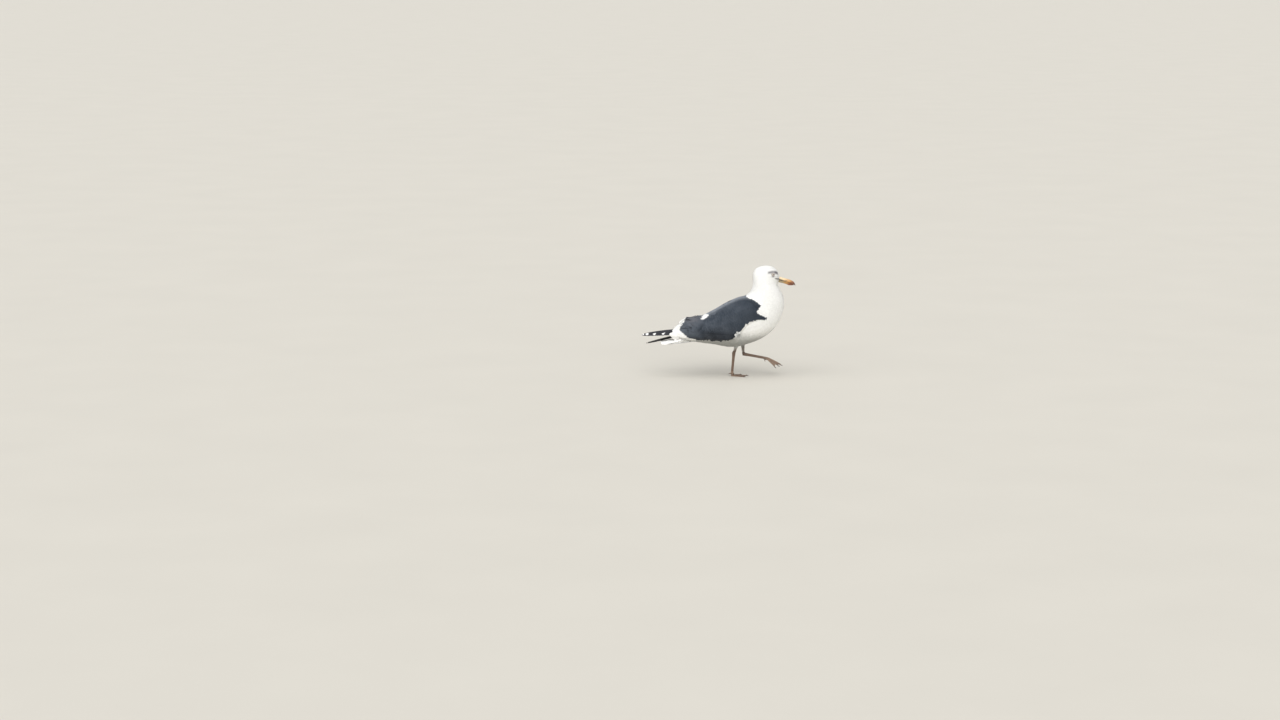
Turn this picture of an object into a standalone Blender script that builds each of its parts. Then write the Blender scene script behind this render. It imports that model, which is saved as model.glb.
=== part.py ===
"""A lesser black-backed gull at life size, walking: it stands on its right foot and swings the left one forward.

Metres. +X is forward, +Y is the bird's left, +Z is up. The origin is on the floor, under the standing leg and in
the plane that halves the body. Each surface is where the tips of the feathers lie.
"""

import math

import bmesh
import bpy
from mathutils import Matrix, Vector

MM = 0.001
GAP = 0.3 * MM

# Driving sizes.
TARSUS = 70 * MM
MIDDLE_TOE = 50 * MM
CULMEN = 53.5 * MM
BILL_DEPTH = 18.5 * MM
BILL_PITCH = math.radians(-15)
EYE_RADIUS = 7.2 * MM
EYE_PLACE = Vector((123.5, 17.4, 319.5)) * MM
BILL_ROOT = Vector((143.6, 0.0, 301.4)) * MM
WEB_THICKNESS = 1.2 * MM
THINNEST = 0.8 * MM

RING_POINTS = 28
TAIL_POINTS = 16
BODY_STEPS = 2
WING_STEPS = 2
OUTER_ARC = 9

# Sections of the body, in millimetres, from the rump to the root of the bill. Each one lies in the plane through
# its dorsal and ventral points and the Y axis:
# (dorsal x, dorsal z, ventral x, ventral z, half width, height of the widest place as a share of the section).
BODY_SECTIONS = [
    (-174, 142, -173, 108.5, 12, 0.50),
    (-154, 164, -148, 107.5, 24, 0.50),
    (-127, 179, -117, 107.5, 36, 0.50),
    (-92, 187.5, -84, 103, 47, 0.50),
    (-58, 204, -50, 98.6, 56, 0.50),
    (-24, 221, -16, 91.8, 61, 0.50),
    (8, 241, 18, 92.6, 63, 0.50),
    (32, 249.5, 50, 101.5, 62, 0.50),
    (46, 255, 84, 114, 59, 0.48),
    (54, 263, 113, 133, 55, 0.46),
    (59, 272, 136, 157, 50, 0.46),
    (62, 283, 151, 186, 46, 0.46),
    (63, 294, 159, 213, 42, 0.47),
    (62.5, 305, 160, 236, 38.5, 0.48),
    (62.5, 315, 155, 255, 34, 0.50),
    (65, 325, 147, 271.5, 30, 0.50),
    (72, 335.5, 141, 283, 27.5, 0.48),
    (86, 342.7, 138.2, 288.5, 25.5, 0.46),
    (103, 345, 138.0, 290.5, 24.5, 0.45),
    (118, 343.7, 138.2, 291.2, 23, 0.44),
    (130, 337.5, 138.6, 291.3, 20.5, 0.44),
    (138, 328.5, 139.0, 291.2, 17, 0.44),
    (142.8, 319.5, 139.6, 291.2, 13, 0.46),
    (145.8, 311.4, 140.6, 291.0, 9.4, 0.48),
]
NECK_FROM = 10.0
HEAD_FROM = 14.0

# Sections of the folded left wing across X, in millimetres, from the wrist to the tips of the tertials:
# (x, upper edge y, z, outermost y, z, lower edge y, z, thickness).
WING_SECTIONS = [
    (108, 47, 189, 49, 186, 47.5, 183, 2.5),
    (93, 46, 208, 55, 195, 52, 182, 7),
    (73, 37, 232, 61, 205, 58, 180, 10),
    (50, 24, 246.5, 66, 206, 62.5, 173, 12),
    (30, 16, 247.5, 68.5, 196, 65.5, 152, 13),
    (10, 10, 242.5, 69.5, 183, 66, 128, 14),
    (-20, 5, 229, 69, 172, 60.5, 120.5, 14),
    (-55, 2, 208.5, 65, 160, 53, 120.5, 13),
    (-90, 1, 190.5, 57, 152, 46, 121.5, 11),
    (-122, 1, 186, 47, 152, 38, 122.5, 9),
    (-150, 1, 175, 36, 149, 30, 122, 7),
    (-172, 2, 157, 25, 145, 23, 126, 4),
    (-187, 8, 141, 17, 137, 15, 132, 1.6),
]

WHITE = (0.86, 0.86, 0.84, 1)
SLATE = (0.06, 0.065, 0.08, 1)
BLACK = (0.012, 0.012, 0.014, 1)
BILL_YELLOW = (0.72, 0.42, 0.08, 1)
LEG_YELLOW = (0.50, 0.27, 0.11, 1)
CLAW_BROWN = (0.03, 0.022, 0.018, 1)
EYE_PALE = (0.70, 0.62, 0.35, 1)


def clear_scene():
    for obj in list(bpy.data.objects):
        bpy.data.objects.remove(obj)


def finish(name, color, roughness):
    material = bpy.data.materials.new(name)
    material.use_nodes = True
    shader = material.node_tree.nodes["Principled BSDF"]
    shader.inputs["Base Color"].default_value = color
    shader.inputs["Roughness"].default_value = roughness
    shader.inputs["Metallic"].default_value = 0.0
    return material


def add_object(name, mesh_maker, material):
    """A named object from a bmesh that mesh_maker fills, with its normals facing out.

    The faces are cut into triangles one fixed way, so that a cutter's bent faces run parallel to its neighbour's.
    """
    bm = bmesh.new()
    mesh_maker(bm)
    bmesh.ops.recalc_face_normals(bm, faces=bm.faces)
    bmesh.ops.triangulate(bm, faces=bm.faces, quad_method="FIXED")
    mesh = bpy.data.meshes.new(name)
    bm.to_mesh(mesh)
    bm.free()
    mesh.materials.append(material)
    mesh.shade_smooth()
    mesh.set_sharp_from_angle(angle=math.radians(50))
    obj = bpy.data.objects.new(name, mesh)
    bpy.context.scene.collection.objects.link(obj)
    return obj


def spline(rows, at):
    """The Catmull-Rom curve through rows of numbers, at a place counted in rows."""
    last = len(rows) - 1
    i = min(int(at), last - 1)
    t = at - i
    before, here, there, after = (rows[min(max(k, 0), last)] for k in (i - 1, i, i + 1, i + 2))
    return [
        0.5 * (2 * b + (c - a) * t + (2 * a - 5 * b + 4 * c - d) * t * t + (3 * b - a - 3 * c + d) * t**3)
        for a, b, c, d in zip(before, here, there, after)
    ]


def places(start, end, steps):
    """Places from start to end along a table of rows, steps of them to each row."""
    count = max(1, round((end - start) * steps))
    return [start + (end - start) * k / count for k in range(count + 1)]


def skin_rings(bm, rings):
    """Joins closed rings of points into a tube with flat ends."""
    rows = [[bm.verts.new(point) for point in ring] for ring in rings]
    count = len(rows[0])
    for first, second in zip(rows, rows[1:]):
        for k in range(count):
            bm.faces.new((first[k], first[(k + 1) % count], second[(k + 1) % count], second[k]))
    bm.faces.new(reversed(rows[0]))
    bm.faces.new(rows[-1])


def body_ring(at, grow=0.0):
    """One section of the body as a ring, grown outward by a margin."""
    dorsal_x, dorsal_z, ventral_x, ventral_z, half_width, widest = spline(BODY_SECTIONS, at)
    dorsal = Vector((dorsal_x, 0, dorsal_z)) * MM
    ventral = Vector((ventral_x, 0, ventral_z)) * MM
    middle = (dorsal + ventral) / 2
    up = dorsal - middle
    reach = up.length + grow
    up.normalize()
    side = half_width * MM + grow
    lean = 2 * widest - 1
    ring = []
    for k in range(RING_POINTS):
        angle = 2 * math.pi * k / RING_POINTS
        across = math.sin(angle)
        along = math.cos(angle) + lean * across * across
        ring.append(middle + up * (reach * along) + Vector((0, side * across, 0)))
    return ring


def body_part(name, start, end, material):
    """A length of the body, with a thin gap left at each end that meets another."""
    inset = 0.015
    last = len(BODY_SECTIONS) - 1
    first_at = start if start == 0 else start + inset
    last_at = end if end == last else end - inset
    rings = [body_ring(at) for at in places(first_at, last_at, BODY_STEPS)]
    return add_object(name, lambda bm: skin_rings(bm, rings), material)


def grown_ring(ring, margin):
    """A ring in a YZ plane, moved outward by a margin, with its corners kept sharp up to a limit."""
    count = len(ring)
    normals = []
    for k in range(count):
        edge = (ring[(k + 1) % count] - ring[k]).normalized()
        normals.append(Vector((0, -edge.z, edge.y)))
    return [
        ring[k] + (normals[k - 1] + normals[k]) * (margin / max(1 + normals[k - 1].dot(normals[k]), 0.1))
        for k in range(count)
    ]


def wing_ring(at, side, grow=0.0):
    """A section of a folded wing: an outer arc from the upper edge to the lower one, and an inner arc back."""
    x, top_y, top_z, out_y, out_z, low_y, low_z, thickness = (v * MM for v in spline(WING_SECTIONS, at))
    arc = []
    for k in range(OUTER_ARC):
        angle = math.pi * k / (OUTER_ARC - 1)
        end_y, end_z = (top_y, top_z) if angle <= math.pi / 2 else (low_y, low_z)
        y = end_y + (out_y - end_y) * math.sin(angle)
        z = out_z + (end_z - out_z) * abs(math.cos(angle))
        arc.append(Vector((x, y, z)))
    inner = []
    for k in range(OUTER_ARC - 2, 0, -1):
        along = (arc[k + 1] - arc[k - 1]).normalized()
        depth = thickness * math.sin(math.pi * k / (OUTER_ARC - 1)) ** 0.6
        inner.append(arc[k] - Vector((0, -along.z, along.y)) * max(depth, THINNEST))
    ring = grown_ring(arc + inner, grow) if grow else arc + inner
    return [Vector((p.x, side * p.y, p.z)) for p in ring]


def wing(name, side, material, grow=0.0):
    """A folded wing, or with a margin the pocket that it lies in."""
    last = len(WING_SECTIONS) - 1
    rings = [wing_ring(at, side, grow) for at in places(0, last, WING_STEPS)]
    for end, neighbour in ((0, 1), (-1, -2)):
        further = 2 * grow / abs(rings[end][0].x - rings[neighbour][0].x)
        rings[end] = [point + (point - inside) * further for point, inside in zip(rings[end], rings[neighbour])]
    return add_object(name, lambda bm: skin_rings(bm, rings), material)


def hide_cutter(obj):
    obj.hide_render = True
    obj.display_type = "WIRE"


def carve(target, cutter):
    cut = target.modifiers.new("cut_" + cutter.name, "BOOLEAN")
    cut.operation = "DIFFERENCE"
    cut.solver = "EXACT"
    cut.object = cutter


def lens_rings(stations, points=10):
    """Rings of flat lens-shaped sections. A station is (centre, half width, half thickness, across, thick way)."""
    rings = []
    for centre, half_width, half_thickness, across, thick in stations:
        ring = []
        for k in range(points):
            angle = 2 * math.pi * k / points
            ring.append(
                centre + across * (half_width * math.cos(angle)) + thick * (half_thickness * math.sin(angle))
            )
        rings.append(ring)
    return rings


def primaries(name, side, root, tip, tilt, material):
    """The folded tips of the longest flight feathers: a thin blade whose outer edge hangs lower by the tilt."""
    widths = [(0.0, 15.0), (0.25, 14.5), (0.5, 12.5), (0.72, 9.5), (0.88, 5.5), (0.97, 2.4), (1.0, 0.9)]
    stations = []
    axis = (tip - root).normalized()
    across = Vector((0, side * math.cos(tilt), -math.sin(tilt)))
    across = (across - axis * across.dot(axis)).normalized()
    thick = axis.cross(across).normalized()
    for share, half_width in widths:
        centre = root.lerp(tip, share)
        stations.append((centre, half_width * MM, (2.0 - 1.2 * share) * MM, across, thick))
    return add_object(name, lambda bm: skin_rings(bm, lens_rings(stations)), material)


def tail(name, material):
    """The closed tail with its coverts, arched across, from inside the rump to its square tip."""
    # (x, z of the middle, half width, half thickness, how far the edges hang)
    shape = [
        (-112, 124, 20, 10.0, 0),
        (-140, 118, 23, 9.0, 0),
        (-165, 113.5, 26, 6.5, 2),
        (-190, 109.5, 29, 4.0, 3.5),
        (-210, 106.5, 31.5, 2.2, 3),
        (-219, 105.2, 31.5, 1.4, 2),
        (-222, 104.8, 28, 0.8, 1.5),
    ]
    rings = []
    for x, z, half_width, half_thickness, hang in shape:
        ring = []
        for k in range(TAIL_POINTS):
            angle = 2 * math.pi * k / TAIL_POINTS
            share = math.cos(angle)
            up = half_thickness * math.sin(angle) - hang * share * share
            ring.append(Vector((x, half_width * share, z + up)) * MM)
        rings.append(ring)
    return add_object(name, lambda bm: skin_rings(bm, rings), material)


def tube_rings(points, radii, points_round=12):
    """Rings square to a bent line. A radius is (fore and aft, sideways); the line lies near an XZ plane."""
    rings = []
    for i, (centre, (fore, sideways)) in enumerate(zip(points, radii)):
        ahead = points[min(i + 1, len(points) - 1)] - points[max(i - 1, 0)]
        ahead.normalize()
        across = (Vector((0, 1, 0)) - ahead * ahead.y).normalized()
        front = across.cross(ahead)
        rings.append(
            [
                centre
                + front * (fore * math.cos(2 * math.pi * k / points_round))
                + across * (sideways * math.sin(2 * math.pi * k / points_round))
                for k in range(points_round)
            ]
        )
    return rings


def thigh(name, hip, ankle, material):
    """The feathered end of the shank, from inside the belly to just above the ankle."""
    shape = [(0.0, 20, 14), (0.3, 15, 11), (0.5, 7.8, 7.0), (0.64, 5.6, 5.2), (0.86, 4.2, 4.0)]
    points = [hip.lerp(ankle, share) for share, _, _ in shape]
    radii = [(fore * MM, sideways * MM) for _, fore, sideways in shape]
    return add_object(name, lambda bm: skin_rings(bm, tube_rings(points, radii)), material)


def shank(name, hip, ankle, foot, material):
    """The bare leg: the last of the shank, the ankle joint and the tarsus down to the foot."""
    above = hip.lerp(ankle, 0.87)
    shape = [
        (above, 3.6, 3.3),
        (above.lerp(ankle, 0.6), 3.9, 3.6),
        (ankle, 5.9, 4.9),
        (ankle.lerp(foot, 0.08), 5.3, 4.3),
        (ankle.lerp(foot, 0.22), 4.4, 3.2),
        (ankle.lerp(foot, 0.5), 4.1, 2.9),
        (ankle.lerp(foot, 0.8), 4.1, 3.0),
        (ankle.lerp(foot, 0.94), 4.2, 3.8),
        (foot, 4.3, 4.0),
    ]
    points = [point for point, _, _ in shape]
    radii = [(fore * MM, sideways * MM) for _, fore, sideways in shape]
    rings = tube_rings(points, radii)
    return add_object(name, lambda bm: skin_rings(bm, rings), material)


def toe_point(foot_frame, direction, reach, length, curl):
    """A point on a toe's line. Curl bends the toe down along its length."""
    share = reach / length
    return foot_frame @ (direction * reach + Vector((0, 0, -curl * share * share)))


def web_foot(name, foot_frame, toes, curl, flat, material):
    """Three toes and the webs between them, as one sheet with a rib on each toe.

    toes holds (direction, length) from the inner toe to the outer one, in the frame of the foot. The sheet's
    underside is flat on the floor when flat is set. A foot in the air is fuller and reaches up to the leg.
    """
    rib_half = 3.0 * MM
    root_spread = 2.2 * MM
    reaches = [0.06 if flat else 0.0, 0.2, 0.4, 0.6, 0.8, 0.93, 1.0]
    fullness = 1.0 if flat else 1.25
    toward_outer = math.copysign(1, toes[0][0].cross(toes[-1][0]).z)
    rows = []
    for step, share in enumerate(reaches):
        row = []
        slim = 1.0 - 0.42 * share
        end = 0.45 if step == len(reaches) - 1 else 1.0
        rib = (5.2 - 2.4 * share) * MM * (0.7 if end < 1 else 1.0) * fullness
        shoulder = (3.0 - 1.3 * share) * MM * (0.8 if end < 1 else 1.0) * fullness
        spread = Vector((0, toward_outer * root_spread * (1 - share) ** 2, 0))
        lines = [direction * (length * share) + spread * (i - 1) for i, (direction, length) in enumerate(toes)]
        clear = min((b - a).length for a, b in zip(lines, lines[1:])) * 0.42
        half = min(rib_half * slim * end, clear)
        sides = [Vector((0, 0, 1)).cross(direction).normalized() * (toward_outer * half) for direction, _ in toes]
        drop = Vector((0, 0, -curl * share * share))
        for i, (line, side) in enumerate(zip(lines, sides)):
            row += [(line - side, shoulder), (line, rib), (line + side, shoulder)]
            if i < len(toes) - 1:
                edge = 1.0 - 0.17 * share**2
                web_ends = (line + side, lines[i + 1] - sides[i + 1])
                row += [(web_ends[0].lerp(web_ends[1], t) * edge, WEB_THICKNESS) for t in (0.33, 0.67)]
        rows.append([(foot_frame @ (place + drop), height) for place, height in row])
    up = foot_frame.to_3x3() @ Vector((0, 0, 1))

    def fill(bm):
        top = [[bm.verts.new(point + up * height) for point, height in row] for row in rows]
        if flat:
            under = [[bm.verts.new((point.x, point.y, 0)) for point, _ in row] for row in rows]
        else:
            under = [[bm.verts.new(point - up * (height * 0.15)) for point, height in row] for row in rows]
        for sheet in (top, under):
            for first, second in zip(sheet, sheet[1:]):
                for k in range(len(first) - 1):
                    bm.faces.new((first[k], first[k + 1], second[k + 1], second[k]))
        for upper, lower in ((top[0], under[0]), (top[-1], under[-1])):
            for k in range(len(upper) - 1):
                bm.faces.new((upper[k], upper[k + 1], lower[k + 1], lower[k]))
        for k in (0, -1):
            for a, b, c, d in zip(top, top[1:], under, under[1:]):
                bm.faces.new((a[k], b[k], d[k], c[k]))

    return add_object(name, fill, material)


def spike(name, root, direction, length, radius, hook, material):
    """A claw: a short cone that curves down to its point."""
    up = Vector((0, 0, 1))
    across = direction.cross(up).normalized()
    rings = []
    for share, size in ((0.0, 1.0), (0.35, 0.85), (0.7, 0.5), (1.0, 0.16)):
        centre = root + direction * (length * share) - up * (hook * share * share)
        thick = across.cross(direction).normalized()
        rings.append(
            [
                centre
                + across * (radius * 0.75 * size * math.cos(2 * math.pi * k / 8))
                + thick * (radius * size * math.sin(2 * math.pi * k / 8))
                for k in range(8)
            ]
        )
    return add_object(name, lambda bm: skin_rings(bm, rings), material)


def bill_point(along, up, sideways=0.0):
    """A point of the bill from its root, in the bill's own frame."""
    turned = Matrix.Rotation(-BILL_PITCH, 3, "Y") @ Vector((along, 0, up))
    return BILL_ROOT + turned + Vector((0, sideways, 0))


def mandible(name, profile, material):
    """A half of the bill. profile rows are shares of the culmen and of the depth: (along, ridge, edge, half width)."""
    points = 12
    rings = []
    for along, ridge, edge, half_width in profile:
        ring = []
        for k in range(points):
            angle = math.pi * k / (points - 1)
            rise = math.sin(angle) ** 0.8
            up = (edge + (ridge - edge) * rise) * BILL_DEPTH
            ring.append(bill_point(along * CULMEN, up, -math.cos(angle) * half_width * MM))
        rings.append(ring)
    return add_object(name, lambda bm: skin_rings(bm, rings), material)


def bill(material):
    upper = [
        (0.00, 0.50, 0.03, 7.2),
        (0.15, 0.48, 0.02, 6.4),
        (0.35, 0.46, 0.00, 5.5),
        (0.55, 0.44, -0.02, 4.8),
        (0.70, 0.40, -0.04, 4.2),
        (0.82, 0.31, -0.08, 3.5),
        (0.91, 0.15, -0.15, 2.6),
        (0.97, -0.06, -0.26, 1.5),
        (1.00, -0.26, -0.36, 0.6),
    ]
    lower = [
        (0.00, -0.47, 0.00, 6.8),
        (0.15, -0.43, -0.01, 6.0),
        (0.35, -0.42, -0.03, 5.0),
        (0.50, -0.44, -0.05, 4.4),
        (0.61, -0.50, -0.06, 4.0),
        (0.72, -0.45, -0.08, 3.4),
        (0.83, -0.36, -0.12, 2.6),
        (0.91, -0.28, -0.19, 1.4),
    ]
    mandible("bill_upper", upper, material)
    mandible("bill_lower", lower, material)


def ball(name, centre, radius, material):
    def fill(bm):
        bmesh.ops.create_uvsphere(bm, u_segments=18, v_segments=10, radius=radius)
        bmesh.ops.translate(bm, verts=bm.verts, vec=centre)

    return add_object(name, fill, material)


def eyes(head, pale, white):
    for side, name in ((1, "left"), (-1, "right")):
        centre = Vector((EYE_PLACE.x, side * EYE_PLACE.y, EYE_PLACE.z))
        ball("eye_" + name, centre, EYE_RADIUS, pale)
        socket = ball("socket_" + name, centre, EYE_RADIUS + GAP, white)
        hide_cutter(socket)
        carve(head, socket)


def standing_foot_frame():
    return Matrix.Translation(Vector((-4.4, -2, 0)) * MM) @ Matrix.Rotation(math.radians(3), 4, "Z")


def lifted_foot_frame(joint):
    pitch = Matrix.Rotation(math.radians(20), 4, "Y")
    return Matrix.Translation(joint) @ Matrix.Rotation(math.radians(-4), 4, "Z") @ pitch


def toe_set(side, inner_turn, outer_turn, droop):
    """(direction, length) of the inner, middle and outer toes of a foot. side is 1 for the left one."""
    toes = []
    for turn, dip, length in (
        (-side * inner_turn, droop[0], 0.75 * MIDDLE_TOE),
        (0.0, droop[1], MIDDLE_TOE),
        (side * outer_turn, droop[2], 0.93 * MIDDLE_TOE),
    ):
        flat = Matrix.Rotation(math.radians(turn), 3, "Z") @ Vector((1, 0, 0))
        direction = (flat * math.cos(math.radians(dip)) - Vector((0, 0, math.sin(math.radians(dip))))).normalized()
        toes.append((direction, length))
    return toes


def claws(name, foot_frame, toes, curl, lift, material):
    turn = foot_frame.to_3x3()
    for toe_name, (direction, length) in zip(("inner", "middle", "outer"), toes):
        tip = toe_point(foot_frame, direction, length, length, curl)
        ahead = (toe_point(foot_frame, direction, length * 1.1, length, curl) - tip).normalized()
        root = tip + ahead * (0.5 * MM + curl * 0.3) + turn @ Vector((0, 0, lift))
        spike(f"claw_{name}_{toe_name}", root, ahead, 6.0 * MM, 1.2 * MM, 0.6 * MM, material)


def hind_toe(name, ankle, foot, material):
    """The small hind toe, on the back of the leg a little above the foot."""
    along = (foot - ankle).normalized()
    back = Vector((0, 1, 0)).cross(along).normalized()
    root = foot - along * (2.6 * MM) + back * (5.4 * MM)
    direction = (back * 0.9 + along * 0.44).normalized()
    return spike(f"hind_toe_{name}", root, direction, 8.0 * MM, 1.8 * MM, 0.0, material)


def legs(body_cutter, white, skin, horn):
    stand_frame = standing_foot_frame()
    stand_foot = Vector((0, -2, 6.2)) * MM
    stand_ankle = stand_foot + Vector((0.075, -0.155, 0.985)).normalized() * TARSUS
    stand_hip = Vector((24, -24, 128)) * MM
    lift_ankle = Vector((36.5, 25, 65)) * MM
    lift_hip = Vector((31, 27, 128)) * MM
    lift_foot = lift_ankle + Vector((0.984, -0.03, -0.176)).normalized() * TARSUS
    lift_frame = lifted_foot_frame(lift_foot + Vector((0.6, 0, -1.4)) * MM)
    poses = (
        ("right", stand_hip, stand_ankle, stand_foot, stand_frame, toe_set(-1, 30, 30, (0, 0, 0)), 0.0, True),
        ("left", lift_hip, lift_ankle, lift_foot, lift_frame, toe_set(1, 18, 16, (16, 0, 9)), 3 * MM, False),
    )
    for name, hip, ankle, foot, frame, toes, curl, flat in poses:
        upper = thigh("thigh_" + name, hip, ankle, white)
        carve(upper, body_cutter)
        shank("leg_" + name, hip, ankle, foot, skin)
        web_foot("foot_" + name, frame, toes, curl, flat, skin)
        claws(name, frame, toes, curl, (1.6 if flat else 0.8) * MM, horn)
        hind_toe(name, ankle, foot, skin)


def main():
    clear_scene()
    white = finish("white_plumage", WHITE, 0.8)
    slate = finish("slate_plumage", SLATE, 0.7)
    black = finish("black_plumage", BLACK, 0.6)
    bill_horn = finish("bill_horn", BILL_YELLOW, 0.35)
    leg_skin = finish("leg_skin", LEG_YELLOW, 0.5)
    claw_horn = finish("claw_horn", CLAW_BROWN, 0.35)
    eye_pale = finish("eye", EYE_PALE, 0.1)

    last = len(BODY_SECTIONS) - 1
    trunk = body_part("trunk", 0, NECK_FROM, white)
    body_part("neck", NECK_FROM, HEAD_FROM, white)
    head = body_part("head", HEAD_FROM, last, white)
    eyes(head, eye_pale, white)
    bill(bill_horn)

    body_rings = [body_ring(at, GAP) for at in places(0, NECK_FROM, BODY_STEPS)]
    body_cutter = add_object("body_cutter", lambda bm: skin_rings(bm, body_rings), white)
    hide_cutter(body_cutter)
    rectrices = tail("tail", white)
    carve(rectrices, body_cutter)

    # (root, tip, tilt) of the flight feathers that show past each wing.
    wing_tips = {
        "left": (Vector((-158, 13, 130)) * MM, Vector((-266, 14, 102)) * MM, math.radians(18)),
        "right": (Vector((-158, -13, 141)) * MM, Vector((-279, -3, 129.5)) * MM, math.radians(40)),
    }
    for side, name in ((1, "left"), (-1, "right")):
        wing("wing_" + name, side, slate)
        pocket = wing("pocket_" + name, side, slate, GAP)
        hide_cutter(pocket)
        carve(trunk, pocket)
        root, tip, tilt = wing_tips[name]
        blade = primaries("primaries_" + name, side, root, tip, tilt, black)
        carve(blade, pocket)
        carve(blade, body_cutter)
    legs(body_cutter, white, leg_skin, claw_horn)


main()
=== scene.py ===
"""The looks of the walking lesser black-backed gull: one skin, a coat of feathers laid over it, the flight
feathers, the bill, the eyes and the claws, on a plain pale floor in soft light.

The coat's outer surface, here the envelope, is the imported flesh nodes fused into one. The skin lies inside it
by the coat's depth. The feathers lie on a finer envelope that takes in the tail and the legs: each is sunk in
the coat at its root and rises to the envelope at its tip. Lengths in the tables are millimetres in the frame
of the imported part: +X is forward, +Y is the bird's left, +Z is up.
"""

import math

import bmesh
import bpy
import numpy as np
from mathutils import Matrix, Vector
from mathutils.bvhtree import BVHTree
from mathutils.kdtree import KDTree


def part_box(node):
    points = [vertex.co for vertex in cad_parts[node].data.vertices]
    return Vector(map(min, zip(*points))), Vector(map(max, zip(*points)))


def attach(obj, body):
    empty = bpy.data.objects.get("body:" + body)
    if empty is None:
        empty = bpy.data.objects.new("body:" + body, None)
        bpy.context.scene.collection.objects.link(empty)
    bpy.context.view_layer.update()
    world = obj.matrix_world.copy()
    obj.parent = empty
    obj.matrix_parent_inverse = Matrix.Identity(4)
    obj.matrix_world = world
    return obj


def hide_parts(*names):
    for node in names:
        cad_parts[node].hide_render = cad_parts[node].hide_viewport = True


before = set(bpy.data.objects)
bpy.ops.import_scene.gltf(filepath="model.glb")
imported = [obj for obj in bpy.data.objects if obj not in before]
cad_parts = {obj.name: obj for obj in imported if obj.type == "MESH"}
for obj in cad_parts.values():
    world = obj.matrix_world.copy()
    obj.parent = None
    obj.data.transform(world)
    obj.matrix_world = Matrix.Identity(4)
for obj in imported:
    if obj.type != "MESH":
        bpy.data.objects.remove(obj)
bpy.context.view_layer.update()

MM = 0.001
SIDES = {"right": -1, "left": 1}
FLESH = ["trunk", "neck", "head", "wing_left", "wing_right", "thigh_left", "thigh_right"]
# How far out a sideways ray starts, and how far off the middle to look where it meets nothing.
RAY_START = 300 * MM
OFF_MIDDLE = 12 * MM

# The leg's and the bill's sizes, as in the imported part.
TARSUS = 70 * MM
CULMEN = 53.5 * MM
BILL_DEPTH = 18.5 * MM
BILL_PITCH = math.radians(-15)


def linear(red, green, blue):
    """A colour given in 0 to 255 steps of sRGB, as linear light."""
    share = np.array([red, green, blue]) / 255
    return np.where(share <= 0.04045, share / 12.92, ((share + 0.055) / 1.055) ** 2.4)


WHITE = linear(246, 245, 241)
# Painted shade for the white under the body.
BELLY_SHADE = linear(142, 143, 138)
# Painted shade for a patch of the white flank in front of the folded wing.
FLANK_PAINTED_SHADE = linear(150, 153, 152)
SLATE = linear(46, 54, 64)
# Painted shade for the slate low on the folded wing.
SLATE_PAINTED_SHADE = linear(28, 32, 39)
SLATE_PALE = linear(100, 106, 114)
# A painted reflection of the sky for the slate along the ridge of the back.
RIDGE_PAINTED_REFLECTION = linear(146, 151, 158)
BROWN_GREY = linear(92, 91, 95)
BLACK = linear(38, 38, 43)
BROW_GREY = linear(100, 93, 97)
LORE_GREY = linear(78, 70, 75)
MOUTH_OLIVE = linear(74, 65, 46)
BILL_YELLOW = linear(200, 146, 76)
BILL_PALE = linear(238, 218, 178)
BILL_OLIVE = linear(150, 138, 104)
GONYS_RED = linear(126, 68, 46)
TIP_DARK = linear(86, 60, 50)
LEG_BUFF = linear(116, 94, 78)
LEG_DARK = linear(80, 66, 56)
WEB_BUFF = linear(140, 116, 96)
RING_RED = linear(136, 60, 50)
CLAW_DARK = linear(46, 38, 34)
PUPIL = linear(6, 6, 7)
IRIS = linear(218, 213, 200)
IRIS_OUTER = linear(150, 140, 112)
EYE_RIM = linear(60, 54, 50)
FLOOR_PALE = linear(206, 201, 190)


def unit(vectors):
    return vectors / np.maximum(np.linalg.norm(vectors, axis=-1, keepdims=True), 1e-12)


def in_mm(points):
    """The x, y and z of points, in millimetres."""
    return np.moveaxis(points / MM, -1, 0)


def measured(lines):
    """The length of each line of points."""
    return np.linalg.norm(np.diff(lines, axis=1), axis=2).sum(1)


def mix(first, second, share):
    share = np.asarray(share)[..., None]
    return first * (1 - share) + second * share


def painted(colour, *coats):
    """A colour with others laid over it in turn, each given as (colour, share)."""
    for paint, share in coats:
        colour = mix(colour, paint, share)
    return colour


def smoothstep(low, high, value):
    share = np.clip((value - low) / (high - low), 0, 1)
    return share * share * (3 - 2 * share)


def oval(x, z, middle, reach, sharpness=1.0):
    """1 in the middle of an oval patch, and falling off to 0 round it."""
    apart = ((x - middle[0]) / reach[0]) ** 2 + ((z - middle[1]) / reach[1]) ** 2
    return np.exp(-(apart**sharpness))


def hermite(at, knots, values):
    """A smooth curve through the rows of a table."""
    knots, values = np.asarray(knots, float), np.asarray(values, float)
    slopes = np.gradient(values, knots, axis=0)
    at = np.clip(at, knots[0], knots[-1])
    k = np.clip(np.searchsorted(knots, at, side="right") - 1, 0, len(knots) - 2)
    span = knots[k + 1] - knots[k]
    t = ((at - knots[k]) / span)[:, None]
    span = span[:, None]
    return (
        values[k] * (1 + 2 * t) * (1 - t) ** 2
        + values[k + 1] * t**2 * (3 - 2 * t)
        + slopes[k] * span * t * (1 - t) ** 2
        + slopes[k + 1] * span * t**2 * (t - 1)
    )


# ---------------- meshes


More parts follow.
